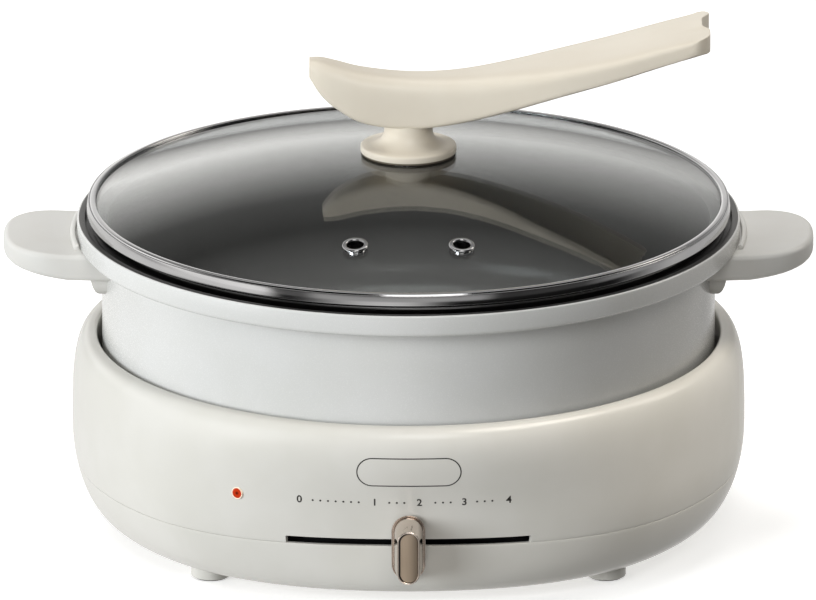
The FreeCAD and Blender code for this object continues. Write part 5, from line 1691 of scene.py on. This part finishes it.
# ------------------------------------------------------------------------------ heat control
@dataclass
class SlideKnob:
    """The knob on the slot: a pill plate, a body that narrows forward, and a let-in face.

    The plate leans back by tilt against the shell and by front_tilt at its front, which lies
    plate_front from it. The face plate is a little off the middle, by shift.
    """

    width: float = 15.6
    height: float = 31.6
    plate: float = 1.4
    plate_front: float = -2.2
    plate_edge: float = 0.16
    rim: float = 0.5
    groove: float = 0.35
    groove_depth: float = 0.8
    face_width: float = 10.2
    face_height: float = 25.4
    reach: float = 19.6
    tilt: float = 11.0
    front_tilt: float = 1.0
    middle: float = 32.95
    plate_middle: float = 32.3
    border: float = 0.8
    sink: float = 0.5
    insert: float = 1.0
    insert_edge: float = 0.15
    gap: float = 0.3
    shift: Point = (0.22, -0.15)
    seat: float = 0.45
    seat_gap: float = 0.02
    edge: float = 0.3
    overlap: float = 0.1
    count: int = 96

    def rib(self, place: Matrix, width: float, height: float, depth: float) -> list[Vector]:
        """A pill outline at a depth, set in its place."""
        return [place @ Vector((x, depth, z)) for x, z in pill(width, height, self.count)]

    def build(self) -> None:
        """Make the knob and its face plate where the CAD knob's face is."""
        low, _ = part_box("slider_knob")
        face_depth = low.y / MM
        back, lean = (
            Matrix.Translation((0, face_depth + self.reach + behind, self.plate_middle))
            @ Matrix.Rotation(math.radians(tilt), 4, "X")
            for behind, tilt in (
                (self.plate, self.tilt), (self.plate_front, self.front_tilt)
            )
        )
        upright = Matrix.Translation((0, face_depth, self.middle))
        shape = Blank()
        self.build_plate(shape, back, lean)
        self.build_body(shape, lean, upright)
        shape.finish("knob_body", Body.SLIDER, CHAMPAGNE, "knob_metal", ["slider_knob"])
        self.build_insert(upright)

    def build_plate(self, shape: Blank, back: Matrix, lean: Matrix) -> None:
        """Add the plate, with a thin raised rim round its front.

        Args:
            shape: The knob so far.
            back: The place of the plate's back, at the shell.
            lean: The place of its front.
        """
        outer, inner = (
            (self.width - narrow, self.height - narrow) for narrow in (0.0, 2 * self.rim)
        )
        first, last = shape.skin([
            self.rib(back, *outer, 0.0), self.rib(lean, *outer, 0.0),
            self.rib(lean, *inner, 0.0), self.rib(lean, *inner, self.groove_depth),
        ])
        shape.cap(first)
        shape.cap(last)
        bmesh.ops.recalc_face_normals(shape.form, faces=shape.form.faces)
        shape.soften(shape.sharp_edges(60.0), self.plate_edge)

    def build_body(self, shape: Blank, lean: Matrix, upright: Matrix) -> None:
        """Add the body, from the plate to the face, with a recess in the face.

        Args:
            shape: The knob so far.
            lean: The place of the plate's front.
            upright: The place of the face.
        """
        margin, border = 2 * (self.rim + self.groove), 2 * self.border
        root = (self.width - margin, self.height - margin)
        recess = (self.face_width - border, self.face_height - border)
        before = set(shape.form.edges)
        first, last = shape.skin([
            self.rib(lean, *root, self.groove_depth + self.overlap),
            self.rib(lean, *root, 0.0),
            self.rib(upright, self.face_width, self.face_height, 0.0),
            self.rib(upright, *recess, 0.0),
            self.rib(upright, *recess, self.sink + self.insert),
        ])
        shape.cap(first)
        shape.cap(last)
        made = set(shape.form.edges) - before
        bmesh.ops.recalc_face_normals(shape.form, faces=shape.form.faces)
        front = (upright @ Vector()).y
        rims = [
            edge for edge in made if all(abs(point.co.y - front) < 1e-4 for point in edge.verts)
            and edge.calc_face_angle(0.0) > math.radians(40)
        ]
        shape.soften(rims, self.edge)

    def build_insert(self, upright: Matrix) -> None:
        """Make the plain plate let into the face, and under it a dark seat that paints the shade
        in the gap round the plate.

        Args:
            upright: The place of the face.
        """
        border, gap, floor = 2 * self.border, 2 * self.gap, self.sink + self.insert
        width, height = self.face_width - border, self.face_height - border
        across, up = self.shift
        for name, place, narrow, top, finish, slot, node in (
            ("knob_face", upright @ Matrix.Translation((across, 0.0, up)), gap, self.sink,
             INSERT, "insert_metal", ["knob_insert"]),
            # The dark seat is painted shade: it makes the gap round the face plate read black, as
            # if in shadow.
            ("knob_shade_seat", upright, self.seat_gap, self.sink + self.seat,
             DARK, "dark_plastic", []),
        ):
            shape = Blank()
            first, last = shape.skin([
                self.rib(place, width - narrow, height - narrow, depth) for depth in (top, floor)
            ])
            faces = shape.cap(first)
            shape.cap(last)
            shape.soften(faces[0].edges, self.insert_edge)
            shape.finish(name, Body.SLIDER, finish, slot, node)


# ------------------------------------------------------------------------------ pan
@dataclass
class Pan:
    """The pan's body with its thick band, and the lining over its inside."""

    radius: float = 142.6
    wall: float = 3.0
    corner: float = 26.0
    underside: float = 59.5
    top: float = 145.9
    band_radius: float = 154.0
    band_bottom: float = 135.6
    band_root: float = 0.7
    band_round: float = 2.2
    top_round: float = 0.8
    top_flat: float = 0.1
    rim_inner: float = 150.2
    seat: float = 142.9
    skin: float = 0.4
    steps: int = 256

    def build(self) -> None:
        """Make the body and the lining."""
        self.build_body()
        self.build_lining()

    def build_body(self) -> None:
        """The enamelled body, open where the lining lies."""
        bore, low, skin = self.radius - self.wall, self.underside, self.skin
        step, edge = self.rim_inner + skin, self.band_radius - self.top_round - self.top_flat
        shape = Blank()
        shape.outline([
            (0.0, low), (self.radius, low, self.corner),
            (self.radius, self.band_bottom, self.band_root),
            (self.band_radius, self.band_bottom, self.band_round),
            (self.band_radius, self.top, self.top_round),
            (edge, self.top), (edge, self.top - skin), (step, self.top - skin),
            (step, self.seat - skin), (bore, self.seat - skin),
            (bore, low + self.wall, self.corner - self.wall), (0.0, low + self.wall),
        ], closed=False)
        shape.turn(self.steps)
        shape.finish("pan_shell", Body.PAN, PAN_WHITE, "pan_enamel", ["pan_body"])

    def build_lining(self) -> None:
        """The dark coating over the inside, the lid's seat and the flat rim."""
        bore, floor, skin = self.radius - self.wall, self.underside + self.wall, self.skin
        step, edge = self.rim_inner + skin, self.band_radius - self.top_round - self.top_flat
        bend = self.corner - self.wall
        shape = Blank()
        shape.outline([
            (0.0, floor), (bore, floor, bend), (bore, self.seat - skin), (step, self.seat - skin),
            (step, self.top - skin), (edge, self.top - skin), (edge, self.top, 0.12),
            (self.rim_inner, self.top, 0.25), (self.rim_inner, self.seat),
            (bore - skin, self.seat, 0.3), (bore - skin, floor + skin, bend - skin),
            (0.0, floor + skin),
        ], closed=False)
        shape.turn(self.steps)
        shape.finish("pan_coating", Body.PAN, LINING, "non_stick", ["pan_lining"])


@dataclass
class PanHandle:
    """One side handle: a flat wing, the pad under it and the raised collar at its root."""

    side: int
    wall_radius: float = 142.2
    band_radius: float = 154.0
    length: float = 34.19
    half_width: float = 35.8
    bow: float = 30.0
    bow_power: float = 2.5
    top: float = 137.2
    rise: float = 2.0
    root: float = 12.8
    tip: float = 9.6
    edge: float = 2.6
    pad_half: float = 30.0
    pad_reach: float = 4.8
    pad_drop: float = 9.4
    pad_sunk: float = 0.4
    pad_profile: tuple[Point, ...] = ((0.0, 0.1), (0.25, 0.5), (0.6, 0.8), (1.0, 1.0))
    lobe: float = 8.0
    collar_half: float = 27.0
    collar: float = 2.5
    collar_rise: float = 2.6
    collar_gap: float = 0.8
    collar_rounds: Point = (1.1, 0.8)
    collar_end: float = 1.3

    def build(self) -> None:
        """Make the handle, drawn on the right and turned for the left."""
        shape = Blank()
        self.build_wing(shape)
        self.build_pad(shape)
        self.build_collar(shape)
        if self.side < 0:
            shape.move(Matrix.Rotation(math.pi, 4, "Z"))
        name = "left" if self.side < 0 else "right"
        shape.finish(f"grip_{name}", Body.PAN, WARM_WHITE, "handle_plastic", [f"handle_{name}"])

    def wall_points(self, half: float, count: int) -> list[Point]:
        """Follow the pan's wall, from the back of the handle to its front."""
        places = [half - 2 * half * step / count for step in range(count + 1)]
        return [(math.sqrt(self.wall_radius**2 - y * y), y) for y in places]

    def plan(self) -> list[Point]:
        """Draw the wing from above: the wall, two straight sides and a bowed end.

        Returns:
            The outline's points.
        """
        straight = self.band_radius + self.length - self.bow
        turns, bow = 40, []
        for step in range(turns + 1):
            angle = -math.pi / 2 + math.pi * step / turns
            along, out = math.sin(angle), math.cos(angle)
            bow.append((
                straight + self.bow * abs(out) ** (2 / self.bow_power),
                self.half_width * math.copysign(abs(along) ** (2 / self.bow_power), along),
            ))
        return [*self.wall_points(self.half_width, 12), *bow]

    def build_wing(self, shape: Blank) -> None:
        """Add the wing: its plan filled, drawn down, thinned towards the tip and rounded.

        Args:
            shape: The handle so far.
        """
        edges = shape.ring([(x, y, self.top) for x, y in self.plan()])
        top = shape.cap(edges)
        drawn = bmesh.ops.extrude_face_region(shape.form, geom=top)["geom"]
        under = {item for item in drawn if isinstance(item, bmesh.types.BMVert)}
        for point in shape.form.verts:
            share = max(0.0, point.co.x - self.band_radius) / self.length
            thick = self.root + (self.tip - self.root) * share
            point.co.z += self.rise * share - (thick if point in under else 0.0)
        bmesh.ops.recalc_face_normals(shape.form, faces=shape.form.faces)
        rims = [
            edge for edge in shape.sharp_edges(60.0)
            if abs(edge.verts[0].co.z - edge.verts[1].co.z) < 3.0
            and max(math.hypot(*point.co.xy) for point in edge.verts) > self.wall_radius + 0.1
        ]
        shape.soften(rims, self.edge, 5)

    def build_pad(self, shape: Blank) -> None:
        """Add the pad against the wall, from its lobes up into the wing.

        Args:
            shape: The handle so far.
        """
        shoulder = self.top - self.root
        low, count = shoulder - self.pad_drop, 16
        ribs = []
        for share, out in smooth_curve(self.pad_profile, 6):
            level = low + share * self.pad_drop
            rise = min(level - low, self.lobe)
            half = self.pad_half - self.lobe + math.sqrt(self.lobe**2 - (self.lobe - rise) ** 2)
            outer = self.wall_radius + self.pad_sunk + out * self.pad_reach
            front = [(outer, -half + 2 * half * step / count) for step in range(count + 1)]
            ribs.append([(x, y, level) for x, y in [*self.wall_points(half, count), *front]])
        ribs.append([(x, y, self.top - self.root / 2) for x, y, _ in ribs[-1]])
        first, last = shape.skin(ribs)
        shape.cap(first)
        shape.cap(last)

    def build_collar(self, shape: Blank) -> None:
        """Add the collar: a rounded bar that follows the band with a gap.

        Args:
            shape: The handle so far.
        """
        inner = self.band_radius + self.collar_gap
        outer, top = inner + self.collar, self.top + self.collar_rise
        bar = Blank()
        spread = math.asin(self.collar_half / outer)
        bar.outline([
            (inner, self.top - self.edge), (outer, self.top - self.edge),
            (outer, top, self.collar_rounds[0]), (inner, top, self.collar_rounds[1]),
        ])
        bar.move(Matrix.Rotation(-spread, 4, "Z"))
        bar.turn(24, 2 * spread)
        bmesh.ops.holes_fill(bar.form, edges=bar.form.edges, sides=0)
        bar.tidy()
        ends = bar.sharp_edges(
            60.0, lambda m: abs(abs(math.atan2(m.y, m.x)) - spread) < 1e-3 and m.z > self.top
        )
        bar.soften(ends, self.collar_end, 4)
        shape.join(bar)


# ------------------------------------------------------------------------------ lid
@dataclass
class Lid:
    """The lid's steel band and its seal, the two vents, and the flange, its neck and its seal.

    The glass is a ball's cap of dome_radius. The flare gives the neck's curve up from the
    flange, as radius and height over the flange's underside.
    """

    glass_radius: float = 147.2
    dome_top: float = 177.0
    dome_radius: float = 462.8
    glass: float = 4.0
    lid_radius: float = 149.8
    bottom: float = 143.1
    face_low: float = 149.3
    face_top: float = 154.0
    face_lean: float = 0.85
    face_drop: float = 1.35
    shoulder: float = 1.12
    grip_width: float = 1.9
    cap_height: float = 1.2
    skirt: float = 1.2
    gasket: float = 0.7
    vent_across: float = 24.4
    vent_along: float = -105.0
    vent_radius: float = 6.0
    vent_shank: float = 4.4
    vent_bore: float = 3.95
    vent_proud: float = 1.0
    flange_radius: float = 22.3
    flange_bottom: float = 177.8
    flange_edge: float = 2.7
    flange_round: float = 0.7
    flare: tuple[Point, ...] = ((20.2, 3.1), (17.2, 3.5), (14.8, 4.3), (12.9, 5.7), (11.8, 7.5))
    seal_drop: float = 1.2
    seal_rise: float = -0.3
    seal_width: float = 2.2
    seal_inset: float = 0.35
    neck_radius: float = 11.3
    neck_rises: Span = (9.4, 12.4)
    neck_top: float = 191.5
    lid_steps: int = 256
    flange_steps: int = 128
    vent_steps: int = 64

    def dome(self, radius: float, inset: float = 0.0) -> float:
        """The dome's height at a radius, or that of a smaller ball inside it."""
        ball, centre = self.dome_radius - inset, self.dome_top - self.dome_radius
        return centre + math.sqrt(ball * ball - radius * radius)

    def build(self) -> None:
        """Make the lid's pieces."""
        self.build_rim()
        self.build_gasket()
        self.build_flange()
        for name, side in (("left", -1), ("right", 1)):
            self.build_vent(name, side)

    def build_rim(self) -> None:
        """The steel band: a skirt, a bright face, a groove and the lip over the glass."""
        inner, glass = self.glass_radius - self.grip_width, self.glass_radius
        crown, shoulder = self.dome(inner) + self.cap_height, glass + self.shoulder
        skirt = glass - self.skirt
        shape = Blank()
        shape.outline([
            (skirt, self.bottom, 0.3), (glass, self.bottom, 0.3),
            (glass, self.face_low - self.face_drop),
            (self.lid_radius, self.face_low, 0.6),
            (self.lid_radius - self.face_lean, self.face_top, 0.25),
            (shoulder + 0.22, self.face_top, 0.1), (shoulder, self.face_top - 0.5, 0.1),
            (shoulder - 0.35, crown - 0.2, 0.35), (shoulder - 1.3, crown, 0.5),
            (inner, crown, 0.7), (inner, self.dome(inner) - 0.1),
            (glass + 0.02, self.dome(glass) - 0.1), (glass + 0.02, self.dome(glass, self.glass)),
            (skirt, self.dome(skirt, self.glass) - 0.1),
        ])
        shape.turn(self.lid_steps)
        shape.finish("rim_band", Body.LID, RIM, "rim_steel", ["lid_rim"])

    def build_gasket(self) -> None:
        """The dark seal inside the band's skirt, up to the glass."""
        outer = self.glass_radius - self.skirt - 0.02
        shape = Blank()
        shape.outline([
            (outer - self.gasket, self.bottom + 0.25, 0.2), (outer, self.bottom + 0.25),
            (outer, self.dome(outer, self.glass) - 0.15),
            (outer - self.gasket, self.dome(outer - self.gasket, self.glass) - 0.05, 0.3),
        ])
        shape.turn(self.lid_steps)
        shape.finish("lid_seal", Body.LID, RUBBER, "rubber")

    def build_flange(self) -> None:
        """The flange and neck, one turned form up into the grip, and the seal below it, whose
        olive-brown colour paints the shaded reflection of the flange's side in the glass.
        """
        low, edge, neck = self.flange_bottom, self.flange_radius, self.neck_radius
        skirt, bottom = low + self.seal_rise, low - self.seal_drop
        rises = [*self.flare, *((neck, rise) for rise in self.neck_rises)]
        flare = smooth_curve([(radius, low + rise) for radius, rise in rises], 4)
        shape = Blank()
        shape.outline([
            (0.0, skirt), (edge, skirt, 0.3), (edge, low + self.flange_edge, self.flange_round),
            *flare, (neck, self.neck_top), (0.0, self.neck_top),
        ], closed=False)
        shape.turn(self.flange_steps)
        shape.finish("flange", Body.LID, CREAM, "grip_plastic", ["knob_base"])
        inner, outer = edge - self.seal_width, edge - self.seal_inset
        shape = Blank()
        shape.outline([
            (inner, bottom, 0.2), (outer, bottom, 0.3), (outer, skirt + 0.02),
            (inner, skirt + 0.02),
        ])
        shape.turn(self.flange_steps)
        shape.finish("flange_seal", Body.LID, SEAL_WITH_PAINTED_REFLECTION, "rubber")

    def build_vent(self, name: str, side: int) -> None:
        """Make one flanged eyelet, square on the dome.

        Args:
            name: The side that it is named for.
            side: Minus one for the left, one for the right.
        """
        low, proud, outer = -self.glass, self.vent_proud, self.vent_radius
        shank = self.vent_shank - 0.05
        shape = Blank()
        shape.outline([
            (self.vent_bore, low - proud, 0.2), (outer - 0.5, low - proud, 0.4),
            (outer - 0.5, low), (shank, low), (shank, -0.05),
            (outer, -0.05), (outer, proud, 0.7), (self.vent_bore + 0.3, proud, 0.3),
            (self.vent_bore, proud - 0.6, 0.2),
        ])
        shape.turn(self.vent_steps)
        across, along = side * self.vent_across, self.vent_along
        height = self.dome(math.hypot(across, along))
        normal = Vector((across, along, height - self.dome_top + self.dome_radius)).normalized()
        place = Matrix.Translation((across, along, height))
        shape.move(place @ normal.to_track_quat("Z", "Y").to_matrix().to_4x4())
        shape.finish(f"vent_{name}", Body.LID, RIM, "rim_steel", [f"vent_grommet_{name}"])


@dataclass
class Grip:
    """The long grip: a thick belly over the neck, a blunt nose and a forked tail."""

    low: float = 190.5
    belly: float = 24.0
    nose: float = -46.0
    tail: float = 139.5
    nose_rise: float = 31.6
    nose_thickness: float = 8.0
    nose_half: float = 5.5
    tail_rise: float = 48.8
    tail_thickness: float = 8.6
    tail_half: float = 24.0
    belly_half: float = 12.0
    lobe: float = 8.0
    notch: float = 3.5
    notch_far: Point = (17.5, 7.5)
    notch_near: Point = (-10.0, -2.5)
    fork_start: float = 118.0
    side_level: float = 0.4
    underside_power: float = 8.0
    nose_edge: float = 1.5
    tail_edge: float = 1.9
    count: int = 112

    def stations(self) -> list[tuple[float, ...]]:
        """List the grip's cross-sections, as shares of the way from the belly to each end.

        Returns:
            Place along X, top, bottom, half width and squareness of each.
        """
        low, nose, tail = self.low, self.nose, self.tail
        tops = (low + self.belly, low + self.nose_rise, low + self.tail_rise)
        bottoms = (low, tops[1] - self.nose_thickness, tops[2] - self.tail_thickness)
        halves = (self.belly_half, self.nose_half, self.tail_half)
        shares = (
            (nose, 1, 1.0, 1.0, 1.0, 3.2), (0.88 * nose, 1, 0.97, 0.66, 0.52, 3.2),
            (0.72 * nose, 1, 0.72, 0.39, 0.24, 3.3), (0.45 * nose, 1, 0.3, 0.11, 0.06, 3.4),
            (0.0, 1, 0.0, 0.0, 0.0, 3.6), (0.16 * tail, 2, 0.02, 0.07, 0.13, 3.8),
            (0.33 * tail, 2, 0.15, 0.24, 0.45, 4.2), (0.5 * tail, 2, 0.32, 0.45, 0.83, 4.8),
            (0.68 * tail, 2, 0.54, 0.65, 0.99, 5.4), (0.86 * tail, 2, 0.81, 0.86, 1.0, 6.0),
            (tail, 2, 0.992, 0.992, 1.0, 6.0),
        )
        return [
            (
                place,
                tops[0] + (tops[end] - tops[0]) * rise,
                bottoms[0] + (bottoms[end] - bottoms[0]) * fall,
                halves[0] + (halves[end] - halves[0]) * spread,
                power,
            )
            for place, end, rise, fall, spread, power in shares
        ]

    def section(self, top: float, bottom: float, half: float, power: float) -> list[Point]:
        """Draw an outline across the grip, softly rounded above and crisper below.

        Args:
            top: Its highest level.
            bottom: Its lowest level.
            half: Half its width.
            power: Its squareness above.

        Returns:
            The points, evenly spread.
        """
        tall, fine = top - bottom, 480
        level = bottom + self.side_level * tall
        outline = []
        for step in range(fine):
            turn = TURN * step / fine
            across, up = math.cos(turn), math.sin(turn)
            bend = power if up > 0 else self.underside_power
            reach = (1 - self.side_level if up > 0 else -self.side_level) * tall
            outline.append((
                half * math.copysign(abs(across) ** (2 / bend), across),
                level + reach * abs(up) ** (2 / bend),
            ))
        return evenly(outline, self.count)

    def inset(self, across: float) -> float:
        """Work out how far the fork's end lies back.

        Args:
            across: The distance from the grip's middle.

        Returns:
            The depth of the rounded corner and of the notch there.
        """
        past = min(max(0.0, abs(across) - (self.tail_half - self.lobe)), self.lobe)
        rounded = self.lobe - math.sqrt(self.lobe**2 - past**2)
        depth = self.notch
        for start, end in (self.notch_far, self.notch_near):
            share = min(max((across - start) / (end - start), 0.0), 1.0)
            depth *= math.sin(share * math.pi / 2) ** 2
        return rounded + depth

    def build(self) -> None:
        """Make the grip: ribs, fork, ends, and the ends' rounding."""
        ribs = []
        for place, top, bottom, half, power in smooth_curve(self.stations(), 6):
            share = max(0.0, (place - self.fork_start) / (self.tail - self.fork_start))
            ribs.append([
                (place - share**2 * self.inset(y), y, z)
                for y, z in self.section(top, bottom, half, power)
            ])
        shape = Blank()
        first, last = shape.skin(ribs)
        shape.cap(first)
        self.close_fork(shape, last)
        bmesh.ops.recalc_face_normals(shape.form, faces=shape.form.faces)
        nose = [edge for edge in shape.sharp_edges(50.0) if edge.verts[0].co.x < self.nose + 0.1]
        shape.soften(nose, self.nose_edge, 4)
        tail = [
            edge for edge in shape.sharp_edges(50.0)
            if edge.verts[0].co.x > self.tail - self.lobe - 1
        ]
        shape.soften(tail, self.tail_edge, 5)
        shape.finish("grip", Body.LID, CREAM, "grip_plastic", ["lid_grip"])

    def close_fork(self, shape: Blank, ring: list[bmesh.types.BMEdge]) -> None:
        """Close the fork's end with a band between its upper and lower edges.

        Args:
            shape: The grip so far.
            ring: The edges of its last rib.
        """
        points = {point for edge in ring for point in edge.verts}
        middle = sum(point.co.z for point in points) / len(points)
        chains = [
            edge for edge in ring
            if all(point.co.z > middle + 1e-3 for point in edge.verts)
            or all(point.co.z < middle - 1e-3 for point in edge.verts)
        ]
        bmesh.ops.bridge_loops(shape.form, edges=chains)
        bmesh.ops.holes_fill(shape.form, edges=shape.form.edges, sides=0)


# ------------------------------------------------------------------------------ pan sensor
@dataclass
class SensorSpring:
    """The coil under the sensor's cap, which on the real pot shortens as a pan presses the cap
    down; here it keeps its CAD length.
    """

    node: str = "sensor_spring"
    free: float = 15.0
    pressed: float = 12.5

    def build(self) -> None:
        """Make the coil from a merged copy of its node."""
        shape = Blank()
        shape.form.from_mesh(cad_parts[self.node].data)
        bmesh.ops.scale(shape.form, vec=(1 / MM, 1 / MM, 1 / MM), verts=shape.form.verts)
        bmesh.ops.remove_doubles(shape.form, verts=shape.form.verts, dist=1e-4)
        coil = shape.finish("spring_coil", Body.BASE, SCREW, "screw_steel", [self.node])
        low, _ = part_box(self.node)
        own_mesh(coil)


# ------------------------------------------------------------------------------ the frame's nodes
def take_slots() -> dict[str, str]:
    """Read each CAD node's material slot, and clear away the frame's own materials.

    Returns:
        The slot's name by node.
    """
    slots = {}
    for name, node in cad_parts.items():
        slots[name] = node.data.materials[0].name.split(".")[0]
        node.data.materials.clear()
    for material in list(bpy.data.materials):
        bpy.data.materials.remove(material)
    return slots


def dress_nodes(slots: Mapping[str, str]) -> None:
    """Give every CAD node that still shows the finish of its slot.

    Args:
        slots: The slot's name by node.
    """
    for name, slot in slots.items():
        finish = FINISH_OF_SLOT[slot]
        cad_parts[name].data.materials.append(finish.material())
        report.info("%s dressed in %s", name, finish.name)


def main() -> None:
    """Build the scene, class by class."""
    logging.basicConfig(level=logging.INFO, format="%(message)s")
    slots = take_slots()
    Viewpoint().set_up()
    shells = BaseShells()
    shells.build_upper()
    shells.build_lower()
    Feet().build()
    Markings().build(shells.shell)
    IndicatorCollar().build()
    SlideKnob().build()
    Pan().build()
    for side in (-1, 1):
        PanHandle(side).build()
    Lid().build()
    Grip().build()
    SensorSpring().build()
    Studio().set_up()
    dress_nodes(slots)


if __name__ == "__main__":
    main()
